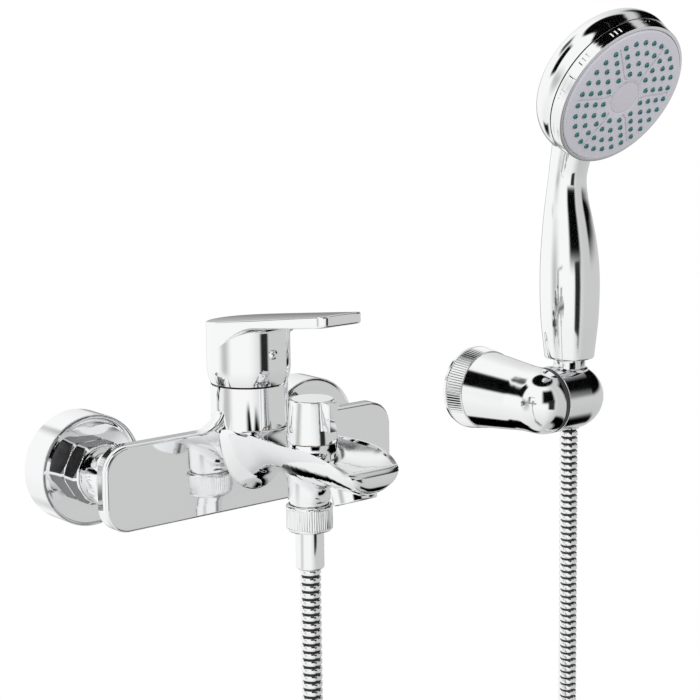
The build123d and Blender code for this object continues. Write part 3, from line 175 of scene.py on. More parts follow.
# %% Studio world
# Each card: heading in degrees, clockwise from +Y seen from above, half width, low, high, softness
# and how dark it is.
CARDS = [
    (-158.0, 22.0, 3.0, 46.0, 6.0, 1.0),
    (-47.0, 13.0, 11.0, 46.0, 4.0, 1.0),
    (-75.0, 12.0, -20.0, 8.0, 12.0, 0.45),
    (-16.0, 11.0, 31.0, 46.0, 4.0, 0.9),
    (96.0, 40.0, 3.0, 46.0, 6.0, 1.0),
    (0.0, 181.0, 62.0, 95.0, 3.0, 1.0),
    (14.0, 26.0, -60.0, -34.0, 4.0, 1.0),
    (120.0, 50.0, -66.0, -40.0, 5.0, 1.0),
    (115.0, 75.0, -90.0, 90.0, 30.0, 0.38),
    (39.0, 14.0, -26.0, 2.0, 8.0, 0.7),
]
ROOM_WHITE, ROOM_LIGHT, FLOOR_GREY = 1.0, 0.88, 0.80
GREY_BELOW, WHITE_ABOVE = -1.2, -0.2

world = bpy.data.worlds.new("studio")
bpy.context.scene.world = world
world.use_nodes = True
sky = world.node_tree
sky.nodes.clear()
direction = sky.nodes.new("ShaderNodeTexCoord").outputs["Generated"]
parts = sky.nodes.new("ShaderNodeSeparateXYZ")
sky.links.new(direction, parts.inputs[0])
heading = math_node(sky, "ARCTAN2", parts.outputs["X"], parts.outputs["Y"])
height = math_node(sky, "ARCSINE", parts.outputs["Z"])
reflected = map_range(sky, height, (GREY_BELOW, WHITE_ABOVE), (FLOOR_GREY, ROOM_WHITE))
for *card_angles, dark in CARDS:
    card = sky.nodes.new("ShaderNodeGroup")
    card.node_tree = card_mask
    sky.links.new(heading, card.inputs["Heading"])
    sky.links.new(height, card.inputs["Height"])
    for socket_name, degrees in zip(CARD_SOCKETS, card_angles):
        card.inputs[socket_name].default_value = np.radians(degrees)
    shade = math_node(sky, "SUBTRACT", 1.0, math_node(sky, "MULTIPLY", card.outputs["Mask"], dark))
    reflected = math_node(sky, "MULTIPLY", reflected, shade)

rays = sky.nodes.new("ShaderNodeLightPath").outputs
straight = math_node(sky, "MAXIMUM", rays["Is Camera Ray"], rays["Is Transmission Ray"])
level = mix_values(sky, rays["Is Glossy Ray"], ROOM_LIGHT, reflected)
background = sky.nodes.new("ShaderNodeBackground")
background.inputs["Color"].default_value = (1, 1, 1, 1)
sky.links.new(mix_values(sky, straight, level, ROOM_WHITE), background.inputs["Strength"])
world_out = sky.nodes.new("ShaderNodeOutputWorld")
sky.links.new(background.outputs[0], world_out.inputs["Surface"])
print(len(CARDS), "cards in the studio")

# %% [markdown]
# A large soft box up on the left gives plastic and rubber their gentle light and shade. In chrome
# it would show as a bright square, so polished surfaces don't see it.

# %% Key light
KEY_PLACE, KEY_TARGET = Vector((-0.9, -1.4, 1.6)), Vector((0.1, -0.1, 0.0))
KEY_SIZE, KEY_POWER = 1.2, 12.0

lamp_data = bpy.data.lights.new("key light", "AREA")
lamp_data.energy = KEY_POWER
lamp_data.size = KEY_SIZE
key_turn = (KEY_TARGET - KEY_PLACE).to_track_quat("-Z", "Y").to_euler()
key_light = place_object("key light", lamp_data, KEY_PLACE, key_turn)
key_light.visible_glossy = False
print("soft box of", KEY_SIZE, "m")

# %% [markdown]
# A pale floor lies far below the mixer, which hangs on a wall. The camera sees it as white, and it
# throws soft light up at the undersides. Polished metal looks past it to the studio instead.

# %% Floor
FLOOR_HEIGHT, FLOOR_RADIUS, FLOOR_SIDES = -2.1, 6.0, 64
FLOOR_COLOUR = 0.85
MATT = 0.9


def base_material(name, colour):
    """A material of one Principled shader in a colour, with its tree and its shader."""
    material = bpy.data.materials.new(name)
    material.use_nodes = True
    shader = material.node_tree.nodes["Principled BSDF"]
    shader.inputs["Base Color"].default_value = (*colour, 1)
    return material, material.node_tree, shader


floor_turn = np.linspace(0, 2 * np.pi, FLOOR_SIDES, endpoint=False)
floor_points = np.column_stack(
    [FLOOR_RADIUS * np.cos(floor_turn), FLOOR_RADIUS * np.sin(floor_turn), np.full(FLOOR_SIDES, FLOOR_HEIGHT)]
)
floor_mesh = bpy.data.meshes.new("floor")
floor_mesh.from_pydata(floor_points.tolist(), [], [list(range(FLOOR_SIDES))])
floor = place_object("floor", floor_mesh)
floor.visible_glossy = False

floor_paint, floor_tree, floor_shader = base_material("pale floor", (FLOOR_COLOUR,) * 3)
floor_shader.inputs["Roughness"].default_value = MATT
floor_glow = floor_tree.nodes.new("ShaderNodeEmission")
floor_mix = floor_tree.nodes.new("ShaderNodeMixShader")
floor_rays = floor_tree.nodes.new("ShaderNodeLightPath")
floor_tree.links.new(floor_rays.outputs["Is Camera Ray"], floor_mix.inputs["Fac"])
floor_tree.links.new(floor_shader.outputs[0], floor_mix.inputs[1])
floor_tree.links.new(floor_glow.outputs[0], floor_mix.inputs[2])
floor_tree.links.new(floor_mix.outputs[0], floor_tree.nodes["Material Output"].inputs["Surface"])
floor_mesh.materials.append(floor_paint)
print("floor", FLOOR_HEIGHT, "m below")

# %% [markdown]
# A black flag stands close in front, between the camera and the wall. Being near, it shows in each
# upright piece at another place: wide in the handset's grip, narrow in the cap and the housing.
# A patch of sky would show at one place in all of them. Its sides fade out, as a black band's do.

# %% Black flag
FLAG_PLACE = (0.08, -0.66)
FLAG_HALF, FLAG_SOLID, FLAG_LOW, FLAG_HIGH = 0.17, 0.07, -0.20, 0.13
FELT_BLACK = 0.012

flag_corners = ((1, FLAG_LOW), (-1, FLAG_LOW), (-1, FLAG_HIGH), (1, FLAG_HIGH))
flag_mesh = bpy.data.meshes.new("black flag")
flag_mesh.from_pydata([(side * FLAG_HALF, 0.0, edge) for side, edge in flag_corners], [], [(0, 1, 2, 3)])
flag = place_object("black flag", flag_mesh, (*FLAG_PLACE, 0.0))
flag.visible_camera = False
flag.visible_diffuse = False
flag.visible_shadow = False

felt, felt_tree, felt_shader = base_material("black felt", (FELT_BLACK,) * 3)
felt_shader.inputs["Roughness"].default_value = MATT
flag_parts = felt_tree.nodes.new("ShaderNodeSeparateXYZ")
felt_tree.links.new(felt_tree.nodes.new("ShaderNodeTexCoord").outputs["Object"], flag_parts.inputs[0])
aside = math_node(felt_tree, "ABSOLUTE", flag_parts.outputs["X"])
fade = map_range(felt_tree, aside, (FLAG_SOLID, FLAG_HALF), (1.0, 0.0), "SMOOTHSTEP")
felt_tree.links.new(fade, felt_shader.inputs["Alpha"])
flag_mesh.materials.append(felt)
print("flag", 2 * FLAG_HALF, "m wide")

# %% [markdown]
# Real surfaces are never evenly smooth. Polished plating has faint cloudy patches, moulded plastic
# has a fine skin. One node group gives every finish that unevenness, each at its own scale.

# %% Fine unevenness
NOISE_DETAIL = 3
NOISE_SPAN = (0.25, 0.75)


def unevenness_group():
    """Noise on Object coordinates, mapped to a roughness between two values, and its raw height."""
    names = ("Scale", "Smoothest", "Roughest")
    group, given, result = float_group("fine unevenness", names, ("Roughness", "Height"))
    place = group.nodes.new("ShaderNodeTexCoord")
    noise = group.nodes.new("ShaderNodeTexNoise")
    noise.inputs["Detail"].default_value = NOISE_DETAIL
    group.links.new(place.outputs["Object"], noise.inputs["Vector"])
    group.links.new(given["Scale"], noise.inputs["Scale"])
    strength = noise.outputs["Fac"]
    roughness = map_range(group, strength, NOISE_SPAN, (given["Smoothest"], given["Roughest"]))
    group.links.new(roughness, result["Roughness"])
    group.links.new(strength, result["Height"])
    return group


unevenness = unevenness_group()
print("unevenness group with", len(unevenness.nodes), "nodes")

# %% [markdown]
# Nearly all of a mixer is plated: brass castings are polished before the nickel and chrome, and
# moulded plastic gets the same layers, a little less clear. Chrome is a light metal that is almost
# a mirror, so it needs no picture, only the right small roughness. Brass, steel, seals, the grey
# face and the soft nozzles are the other finishes.

# %% Finishes
BUMP_STRENGTH = 0.5


def finish_material(name, colour, metallic, smoothest, roughest, scale, bump=0.0):
    """Principled finish whose roughness, and height if asked, come from the unevenness group."""
    material, tree, shader = base_material(name, colour)
    shader.inputs["Metallic"].default_value = metallic
    fine = tree.nodes.new("ShaderNodeGroup")
    fine.node_tree = unevenness
    for socket_name, value in (("Scale", scale), ("Smoothest", smoothest), ("Roughest", roughest)):
        fine.inputs[socket_name].default_value = value
    tree.links.new(fine.outputs["Roughness"], shader.inputs["Roughness"])
    if bump:
        grain = tree.nodes.new("ShaderNodeBump")
        grain.inputs["Distance"].default_value = bump
        grain.inputs["Strength"].default_value = BUMP_STRENGTH
        tree.links.new(fine.outputs["Height"], grain.inputs["Height"])
        tree.links.new(grain.outputs["Normal"], shader.inputs["Normal"])
    return material


chrome = finish_material("chrome plate", (0.92, 0.925, 0.93), 1.0, 0.02, 0.06, 45.0)
deck_finish = finish_material("chrome of the deck", (0.90, 0.905, 0.91), 1.0, 0.13, 0.18, 45.0)
chromed_plastic = finish_material("chromed plastic", (0.92, 0.925, 0.93), 1.0, 0.06, 0.09, 45.0)
# Dark metal for the nut's flats: the real nut is chrome, and this paints the dark reflection it shows
nut_painted_dark_reflection = finish_material("chrome nut, painted dark reflection", (0.25, 0.25, 0.26), 1.0, 0.26, 0.34, 300.0)
# Near-black for the hose's groove faces: painted shade where the turns of the strip meet
hose_groove_shade = finish_material("painted shade in the hose grooves", (0.03, 0.03, 0.032), 0.6, 0.3, 0.5, 700.0)
brass = finish_material("turned brass", (0.72, 0.53, 0.25), 1.0, 0.2, 0.34, 1500.0, 0.00002)
steel = finish_material("plain steel", (0.55, 0.55, 0.57), 1.0, 0.22, 0.4, 1500.0, 0.00002)
rubber = finish_material("black seal", (0.02, 0.02, 0.02), 0.0, 0.5, 0.7, 1200.0, 0.00003)
washer_grey = finish_material("dark washer", (0.035, 0.035, 0.037), 0.0, 0.35, 0.5, 1200.0, 0.00002)
moulded = finish_material("moulded plastic", (0.7, 0.7, 0.68), 0.0, 0.32, 0.48, 900.0, 0.00003)
face_finish = finish_material("lilac grey plate", (0.60, 0.585, 0.645), 0.0, 0.28, 0.38, 500.0, 0.000006)
disc_finish = finish_material("centre disc", (0.59, 0.57, 0.62), 0.0, 0.3, 0.38, 300.0)
nozzle_finish = finish_material("teal silicone", (0.05, 0.20, 0.195), 0.0, 0.22, 0.35, 900.0)

# %% Finish of every node
FINISH_OF_SLOT = {
    "chrome": chrome,
    "chromed_plastic": chromed_plastic,
    "hose": chrome,
    "brass": brass,
    "steel": steel,
    "seal": rubber,
    "washer": washer_grey,
    "plastic": moulded,
    "face": face_finish,
    "disc": disc_finish,
    "nozzles": nozzle_finish,
}
slot_of_node = {entry["node"]: entry["material_slot"] for entry in frame["record"]["subparts"]}
body_of_node = {
    node: body for body, members in frame["record"]["behaviour"]["bodies"].items() for node in members
}
for node_name, node in frame["nodes"].items():
    node.data.materials.clear()
    node.data.materials.append(FINISH_OF_SLOT[slot_of_node[node_name]])
print(len(FINISH_OF_SLOT), "finishes on", len(frame["nodes"]), "nodes")

# %% [markdown]
# Chrome shows every facet, so the pieces that the eye goes to get skins of their own. A skin is a
# grid of points in rings, worked out with arrays, so it can be as fine as the polish asks for.
# Holes and flats are cut afterwards with solids of the same kind.

# %% Arrays into meshes
SHARP = np.radians(32)
MERGE = 0.000002


def ring_faces(rings, around):
    """Quads between neighbouring rings of a grid of points, each ring closed."""
    i = np.arange(rings - 1)[:, None]
    j = np.arange(around)[None, :]
    k = (j + 1) % around
    quads = np.stack([i * around + j, i * around + k, (i + 1) * around + k, (i + 1) * around + j], axis=-1)
    return quads.reshape(-1, 4)


def finish_mesh(mesh, sharp=SHARP):
    """Merges poles and seams, turns the faces outwards and shades all but sharp edges smooth."""
    shell = bmesh.new()
    shell.from_mesh(mesh)
    bmesh.ops.remove_doubles(shell, verts=shell.verts, dist=MERGE)
    bmesh.ops.dissolve_degenerate(shell, edges=shell.edges, dist=MERGE / 4)
    bmesh.ops.recalc_face_normals(shell, faces=shell.faces)
    shell.to_mesh(mesh)
    shell.free()
    mesh.polygons.foreach_set("use_smooth", np.ones(len(mesh.polygons), bool))
    mesh.set_sharp_from_angle(angle=float(sharp))
    mesh.update()


def solid(name, grids):
    """An object from grids of closed rings, in millimetres."""
    points, faces, start = [], [], 0
    for grid in grids:
        rows, around = grid.shape[:2]
        points.append(grid.reshape(-1, 3) * MM)
        faces.append(ring_faces(rows, around) + start)
        start += rows * around
    mesh = bpy.data.meshes.new(name)
    mesh.from_pydata(np.concatenate(points).tolist(), [], np.concatenate(faces).tolist())
    finish_mesh(mesh)
    return place_object(name, mesh)


def capped(rings):
    """The rings, closed at both ends by a ring that is shrunk to its middle."""
    ends = rings.mean(axis=1, keepdims=True).repeat(rings.shape[1], axis=1)
    return np.concatenate([ends[:1], rings, ends[-1:]])


def combined(piece, others, operation):
    """The piece with the other solids joined to it or cut out of it."""
    for index, other in enumerate(others):
        step = piece.modifiers.new(f"step {index}", "BOOLEAN")
        step.operation = operation
        step.solver = "EXACT"
        step.object = other
    graph = bpy.context.evaluated_depsgraph_get()
    mesh = bpy.data.meshes.new_from_object(piece.evaluated_get(graph))
    piece.modifiers.clear()
    old = piece.data
    piece.data = mesh
    mesh.name = piece.name
    bpy.data.meshes.remove(old)
    for other in others:
        bpy.data.objects.remove(other)
    finish_mesh(mesh)
    return piece


# %% Dressing a node
dressed = set()


def dress(piece, *nodes, finish=None):
    """The piece takes the nodes' place and body, and the given finish or else that of their slot, with flat
    faces shaded flat.
    """
    first = nodes[0]
    piece.data.materials.clear()
    piece.data.materials.append(finish or FINISH_OF_SLOT[slot_of_node[first]])
    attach(piece, body_of_node[first])
    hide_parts(*nodes)
    even = piece.modifiers.new("even shading", "WEIGHTED_NORMAL")
    even.keep_sharp = True
    dressed.update(nodes)
    print(piece.name, len(piece.data.polygons), "faces")
    return piece


# %% [markdown]
# Most of the pieces were turned on a lathe, so their skin is a profile carried round an axis. A
# profile is a few corners, eased a little, because a polished edge always catches a line of light,
# or a smooth curve through a few measured points where the real one flows.

# %% Profiles
def soft_corners(corners, ease=0.5, steps=5):
    """Each corner P becomes (1-t)^2 B + 2t(1-t) P + t^2 A, with B and A on its sides, `ease` away."""
    corners = np.asarray(corners, float)
    along = np.diff(corners, axis=0)
    runs = np.maximum(np.linalg.norm(along, axis=-1, keepdims=True), 1e-9)
    ease = np.reshape(ease, (-1,) + (1,) * (corners.ndim - 1))
    cut = np.minimum(ease, 0.45 * np.minimum(runs[:-1], runs[1:]))
    middle = corners[1:-1]
    back = (middle - along[:-1] / runs[:-1] * cut)[:, None]
    ahead = (middle + along[1:] / runs[1:] * cut)[:, None]
    share = np.linspace(0, 1, steps).reshape((1, -1) + (1,) * (corners.ndim - 1))
    bend = (1 - share) ** 2 * back + 2 * share * (1 - share) * middle[:, None] + share**2 * ahead
    return np.concatenate([corners[:1], bend.reshape((-1,) + corners.shape[1:]), corners[-1:]])


def smooth_curve(points, per_span=8, first=None, last=None):
    """Hermite cubic through the points; each slope is the mean of its sides, the nearer weighing more."""
    points = np.asarray(points, float)
    gaps = np.linalg.norm(np.diff(points, axis=0), axis=1)[:, None]
    slopes = np.diff(points, axis=0) / gaps
    inner = (gaps[1:] * slopes[:-1] + gaps[:-1] * slopes[1:]) / (gaps[1:] + gaps[:-1])
    start = slopes[:1] if first is None else np.array([first], float)
    end = slopes[-1:] if last is None else np.array([last], float)
    tangents = np.vstack([start, inner, end])
    t = (np.arange(per_span) / per_span)[None, :, None]
    p0, p1 = points[:-1, None], points[1:, None]
    m0, m1 = (tangents[:-1] * gaps)[:, None], (tangents[1:] * gaps)[:, None]
    curve = (
        (2 * t**3 - 3 * t**2 + 1) * p0
        + (t**3 - 2 * t**2 + t) * m0
        + (3 * t**2 - 2 * t**3) * p1
        + (t**3 - t**2) * m1
    )
    return np.vstack([curve.reshape(-1, points.shape[1]), points[-1:]])


def dome(radius, base, rise, count):
    """Quarter of an ellipse as a profile: (radius cos a, base + rise sin a), a from 0 to 90 degrees."""
    turn = np.radians(np.linspace(0, 90, count))
    return np.column_stack([radius * np.cos(turn), base + rise * np.sin(turn)])


# %% Turned forms
OUT, RIGHT, UP = (0.0, -1.0, 0.0), (1.0, 0.0, 0.0), (0.0, 0.0, 1.0)


def about(profile, centre, axis, start, around=96, radius=None):
    """Rings about an axis: centre + axis * distance + radius * (cos turn * start + sin turn * side)."""
    profile = np.asarray(profile, float)
    axis, start = np.asarray(axis, float), np.asarray(start, float)
    turn = np.linspace(0, 2 * np.pi, around, endpoint=False)
    spokes = np.cos(turn)[:, None] * start + np.sin(turn)[:, None] * np.cross(axis, start)
    table = profile[:, :1] if radius is None else radius
    return np.asarray(centre) + profile[:, 1][:, None, None] * axis + table[..., None] * spokes[None]


def knurled(profile, around, grooves, depth, low, high):
    """Radius at each turn a: r - depth * (1 - cos(grooves * a)) / 2 between two distances, else r."""
    profile = np.asarray(profile, float)
    turn = np.linspace(0, 2 * np.pi, around, endpoint=False)
    wave = 0.5 - 0.5 * np.cos(grooves * turn)
    inside = (profile[:, 1] > low) & (profile[:, 1] < high)
    return profile[:, :1] - depth * inside[:, None] * wave[None]


# %% [markdown]
# The hose is a strip of plated metal wound over a soft tube, 1.5 m long. It leaves the mixer,
# hangs down, lies in two turns of a coil and climbs to the bracket. Its route is a polygon of
# control points in millimetres, and a coil's turns are worked out by their angle.

# %% Route of the hose
HOSE_DIAMETER, HOSE_LENGTH = 11.2, 1500.0
MIXER_X, MIXER_Y = 0.0, -113.7
HANDSET_X, HANDSET_Y = 245.0, -63.6
HOSE_START, HOSE_END = -47.6, -18.6
BEND_RADIUS, COIL_RADIUS = 60.0, 62.0
COIL_PITCH, COIL_TURNS = 13.3, 2
SWAY_END = 40.0
STEP = np.radians(30)

hose_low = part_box("hose_coil")[0][2] / MM + HOSE_DIAMETER / 2
bend_top = hose_low + BEND_RADIUS
corner = BEND_RADIUS / np.cos(STEP / 2)
lead = BEND_RADIUS * np.tan(STEP / 2)
bend_angles = STEP * (np.arange(3) + 0.5)
coil_x = (MIXER_X + HANDSET_X) / 2
coil_start_y = (MIXER_Y + HANDSET_Y) / 2 - COIL_TURNS * COIL_PITCH / 2
coil_end_y = coil_start_y + COIL_TURNS * COIL_PITCH
coil_corner = COIL_RADIUS / np.cos(STEP / 2)
coil_angles = STEP * (np.arange(int(round(2 * np.pi * COIL_TURNS / STEP))) + 0.5)

left_drop = [(MIXER_X, MIXER_Y, z) for z in (HOSE_START, -80.0, -120.0, -165.0, -205.0, bend_top + lead)]
left_bend = [
    (MIXER_X + BEND_RADIUS - corner * np.cos(a), MIXER_Y, bend_top - corner * np.sin(a)) for a in bend_angles
]
left_sway = [(MIXER_X + BEND_RADIUS + lead, MIXER_Y, hose_low), (coil_x - SWAY_END, coil_start_y, hose_low)]
coil_points = [
    (
        coil_x + coil_corner * np.sin(a),
        coil_start_y + COIL_PITCH * a / (2 * np.pi),
        hose_low + COIL_RADIUS - coil_corner * np.cos(a),
    )
    for a in coil_angles
]
right_sway = [
    (coil_x + SWAY_END, coil_end_y, hose_low),
    (HANDSET_X - BEND_RADIUS - lead, HANDSET_Y, hose_low),
]
right_bend = [
    (HANDSET_X - BEND_RADIUS + corner * np.sin(a), HANDSET_Y, bend_top - corner * np.cos(a))
    for a in bend_angles
]
right_drop = [(HANDSET_X, HANDSET_Y, z) for z in (bend_top + lead, -185.0, -140.0, -95.0, -55.0, HOSE_END)]
route = left_drop + left_bend + left_sway + coil_points + right_sway + right_bend + right_drop
print("hose route of", len(route), "points")

# %% [markdown]
# A hose hangs in one smooth line, so the route is the control polygon of a quadratic spline. The
# spline is read back as points, and frames that never twist are carried along them.

# %% Line of the hose
SPLINE_RESOLUTION = 24


def spline_points(points):
    """Points along the quadratic NURBS spline through a control polygon."""
    curve = bpy.data.curves.new("hose route", "CURVE")
    curve.dimensions = "3D"
    curve.resolution_u = SPLINE_RESOLUTION
    spline = curve.splines.new("NURBS")
    spline.points.add(len(points) - 1)
    for control, point in zip(spline.points, points):
        control.co = (*(np.array(point) * MM), 1)
    spline.order_u = 3
    spline.use_endpoint_u = True
    carrier = place_object("hose route", curve)
    sampled = bpy.data.meshes.new_from_object(carrier)
    line = np.array([v.co for v in sampled.vertices]) / MM
    bpy.data.objects.remove(carrier)
    bpy.data.curves.remove(curve)
    bpy.data.meshes.remove(sampled)
    return line


def evenly(line, distances):
    """Places on a line at given distances from its start, and the line's length."""
    steps = np.linalg.norm(np.diff(line, axis=0), axis=1)
    run = np.concatenate([[0], np.cumsum(steps)])
    return np.stack([np.interp(distances, run, line[:, axis]) for axis in range(3)], axis=1), run[-1]


def steady_sides(points):
    """Two side directions at each point: the last one, less its share along the tangent, made 1 long."""
    tangents = np.gradient(points, axis=0)
    tangents /= np.linalg.norm(tangents, axis=1)[:, None]
    side = np.zeros_like(points)
    current = np.array([0.0, 1.0, 0.0])
    for index, tangent in enumerate(tangents):
        current = current - tangent * current.dot(tangent)
        current /= np.linalg.norm(current)
        side[index] = current
    return side, np.cross(tangents, side)


hose_line = spline_points(route)
_, hose_run = evenly(hose_line, [0.0])
print("hose", round(hose_run, 1), "mm long")

# %% [markdown]
# Each rib is one turn of the strip, a rounded crest with a groove beside it. The groove's faces are
# painted near-black as shade where the turns meet. The real strip is a helix of very small pitch.
# Closed ribs look the same from a step away and are easier to place.

# %% Ribs of the hose
RIB_PITCH = 4.15
# One rib: share of the pitch and radius, from the groove over the rounded crest to the groove
RIB_SHAPE = np.array(
    [(0.0, 4.75), (0.12, 4.8), (0.15, 5.35), (0.24, 5.6), (0.60, 5.6), (0.78, 5.4), (0.85, 4.8)]
)
# Rows of each rib whose faces take the painted groove shade
SHADED_GROOVE_ROWS = (0, 6)
AROUND_HOSE = 22
RIB_SHARP = np.radians(40)

ribs = int(round(hose_run / RIB_PITCH))
rib_pitch = hose_run / ribs
rib_starts = np.arange(ribs)[:, None] * rib_pitch
distances = np.append((rib_starts + RIB_SHAPE[:, 0] * rib_pitch).ravel(), hose_run)
radii = np.append(np.tile(RIB_SHAPE[:, 1], ribs), RIB_SHAPE[0, 1])
centres, _ = evenly(hose_line, distances)
side_a, side_b = steady_sides(centres)
angle = np.linspace(0, 2 * np.pi, AROUND_HOSE, endpoint=False)
hose_points = (
    centres[:, None, :]
    + radii[:, None, None] * np.cos(angle)[None, :, None] * side_a[:, None, :]
    + radii[:, None, None] * np.sin(angle)[None, :, None] * side_b[:, None, :]
).reshape(-1, 3)
hose_faces = ring_faces(len(centres), AROUND_HOSE).tolist()
last_ring = (len(centres) - 1) * AROUND_HOSE
hose_faces.append(list(range(AROUND_HOSE))[::-1])
hose_faces.append(list(range(last_ring, last_ring + AROUND_HOSE)))
row_of_face = np.arange(len(hose_faces)) // AROUND_HOSE % len(RIB_SHAPE)
print(ribs, "ribs of", round(rib_pitch, 3), "mm")

# %% Hose in the scene
hose_mesh = bpy.data.meshes.new("shower_hose")
hose_mesh.from_pydata((hose_points * MM).tolist(), [], hose_faces)
hose_mesh.materials.append(chrome)
hose_mesh.materials.append(hose_groove_shade)
# Faces on the groove rows take the near-black second material: painted shade in the grooves
hose_mesh.polygons.foreach_set("material_index", np.isin(row_of_face, SHADED_GROOVE_ROWS).astype(np.int32))
finish_mesh(hose_mesh, RIB_SHARP)
hose = place_object("shower_hose", hose_mesh)
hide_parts("hose_mixer_drop", "hose_left_bend", "hose_coil", "hose_right_bend", "hose_bracket_drop")
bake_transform(hose)
print("hose with", len(hose_mesh.polygons), "faces")

# %% [markdown]
# Each inlet comes out of the wall through an escutcheon, a cup with a nearly flat, polished front.
# A chrome nut with one hexagon stands on it and is mirrored in it. Its flats get a dark metal colour,
# a painted reflection of dark surroundings, and its corners and chamfers keep the chrome. A hexagon
# could be cut with flat planes, but as a ring whose radius follows its flats it stays one grid, and
# its turned-off corners are that radius held below a cone.

# %% Hexagon of the nut
INLET_X = 75.0
FRONT_HEIGHT, NUT_FRONT = 18.5, 31.0
HEX_RADIUS, FLATTENED = 18.3, 0.98
CONE_START, CONE_SLOPE = HEX_RADIUS * np.cos(np.pi / 6) - 0.1, 1.2
NUT_TURN, EDGE_TURN, AROUND_NUT = np.radians(1.5), np.radians(2.4), 360
CHAMFER_ROWS = np.array([0.0, 0.2, 0.45, 0.7, 1.0, 1.3, 1.7, 2.2])
NUT_ROWS = np.concatenate([FRONT_HEIGHT + CHAMFER_ROWS, NUT_FRONT - CHAMFER_ROWS[::-1]])
NUT = np.vstack(
    [
        [(13.1, FRONT_HEIGHT)],
        np.column_stack([np.full(len(NUT_ROWS), HEX_RADIUS), NUT_ROWS]),
        [(13.6, NUT_FRONT), (11.3, NUT_FRONT), (11.3, 26.0), (13.1, 26.0), (13.1, FRONT_HEIGHT)],
    ]
)
nut_turns = np.linspace(0, 2 * np.pi, AROUND_NUT, endpoint=False)


def from_corner(turn):
    """How far each turn is from the nearest of the six corners."""
    return np.abs((turn - NUT_TURN + np.pi / 6) % (np.pi / 3) - np.pi / 6)


def hexagon_rings(profile):
    """Radius r cos 30 / cos(30 - a) at a degrees from a corner, held below a cone at both ends."""
    flat = np.cos(np.pi / 6) / np.cos(np.pi / 6 - from_corner(nut_turns))
    flat = np.minimum(flat, FLATTENED)
    nearest_end = np.minimum(profile[:, 1] - FRONT_HEIGHT, NUT_FRONT - profile[:, 1])
    cone = CONE_START + nearest_end * CONE_SLOPE
    outer = (profile[:, 0] == HEX_RADIUS)[:, None]
    shaped = np.minimum(profile[:, :1] * flat[None], cone[:, None])
    return np.where(outer, shaped, profile[:, :1])


# Faces near the corners and on the chamfers keep the chrome; the rest take the painted dark reflection
face_turns = nut_turns + np.pi / AROUND_NUT
face_rows = np.arange(len(NUT) - 1)[:, None]
first_flat, last_flat = 4, len(NUT_ROWS) - 3
bright = (from_corner(face_turns)[None] < EDGE_TURN) | (face_rows < first_flat) | (face_rows > last_flat)
print("nut", NUT_FRONT - FRONT_HEIGHT, "mm thick,", int(bright.sum()), "bright faces")

# %% Escutcheons and nuts
dish_points = [(29.9, 19.6), (29.3, 19.2), (26.0, 18.8), (13.3, FRONT_HEIGHT)]
dish = smooth_curve(dish_points, 8, (-0.7, -0.7), (-1.0, 0.0))
ESCUTCHEON = np.vstack(
    [
        soft_corners([(29.3, 0.0), (30.5, 0.0), (30.5, 19.7), (30.0, 19.7), dish[1]], 0.3),
        dish[2:-1],
        soft_corners([dish[-1], (13.3, 17.3), (27.5, 17.3), (29.3, 15.5), (29.3, 0.0)], 0.3),
    ]
)
for side_name, x in (("left", -INLET_X), ("right", INLET_X)):
    cup = solid(f"escutcheon_{side_name}_skin", [about(ESCUTCHEON, (x, 0, 0), OUT, RIGHT, 160)])
    dress(cup, f"escutcheon_{side_name}")
    nut_rings = about(NUT, (x, 0, 0), OUT, RIGHT, AROUND_NUT, hexagon_rings(NUT))
    nut = solid(f"union_nut_{side_name}_skin", [nut_rings])
    # The nut's flats take a dark metal as a painted dark reflection; the faces in the mask keep the chrome
    dress(nut, f"union_nut_{side_name}", finish=nut_painted_dark_reflection)
    nut.data.materials.append(chrome)
    nut.data.polygons.foreach_set("material_index", bright.ravel().astype(np.int32))

# %% [markdown]
# The wall bracket is a cone with a finely knurled foot. Its front is a ball, cut flat where a dark
# washer parts it from the holder that turns. The knurl is a wave in the radius, because a bump in
# the material would leave the foot's outline smooth.

# %% Knurled foot of the bracket
BRACKET = (221.5, 0.0, 3.0)
KNURL_GROOVES, KNURL_DEPTH, KNURL_LOW, KNURL_HIGH = 96, 0.6, 3.45, 15.15
AROUND_ROSE = 8 * KNURL_GROOVES
ROSE = np.vstack(
    [
        soft_corners([(22.7, 0.0), (25.8, 0.0), (25.8, 2.3), (26.6, 2.9), (26.5, 3.4)], 0.3),
        np.linspace((26.5, 3.5), (24.9, 15.1), 10),
        soft_corners([(24.85, 15.3), (24.7, 15.6), (22.7, 15.6), (22.7, 0.0)], 0.2),
    ]
)
rose_radius = knurled(ROSE, AROUND_ROSE, KNURL_GROOVES, KNURL_DEPTH, KNURL_LOW, KNURL_HIGH)
rose_rings = about(ROSE, BRACKET, OUT, RIGHT, AROUND_ROSE, rose_radius)
dress(solid("bracket_rose_skin", [rose_rings]), "bracket_rose", finish=chrome)

# %% Arm and washer of the bracket
SWIVEL_Y, SWIVEL_Z = -63.5, 3.0
SEAM_PLACE = (222.0, SWIVEL_Y, SWIVEL_Z)
BALL_RADIUS = 20.5
SHOULDER = [(20.7, 50.0), (BALL_RADIUS, 56.0), (BALL_RADIUS, -SWIVEL_Y)]
ARM = np.vstack(
    [
        [(0.0, 5.0), (22.5, 5.0)],
        soft_corners([(22.5, 15.8), (24.3, 15.8), (20.9, 48.0)], 0.5)[1:],
        smooth_curve(SHOULDER, 8, (-0.1, 1.0), (0.0, 1.0))[:-1],
        dome(BALL_RADIUS, -SWIVEL_Y, BALL_RADIUS, 28),
    ]
)
arm = solid("bracket_arm_skin", [about(ARM, BRACKET, OUT, RIGHT, 160)])
seam_rings = about([(0.0, 0.0), (20.8, 0.0), (20.8, 60.0), (0.0, 60.0)], SEAM_PLACE, RIGHT, UP, 128)
dress(combined(arm, [solid("seam cut", [seam_rings])], "DIFFERENCE"), "bracket_arm")

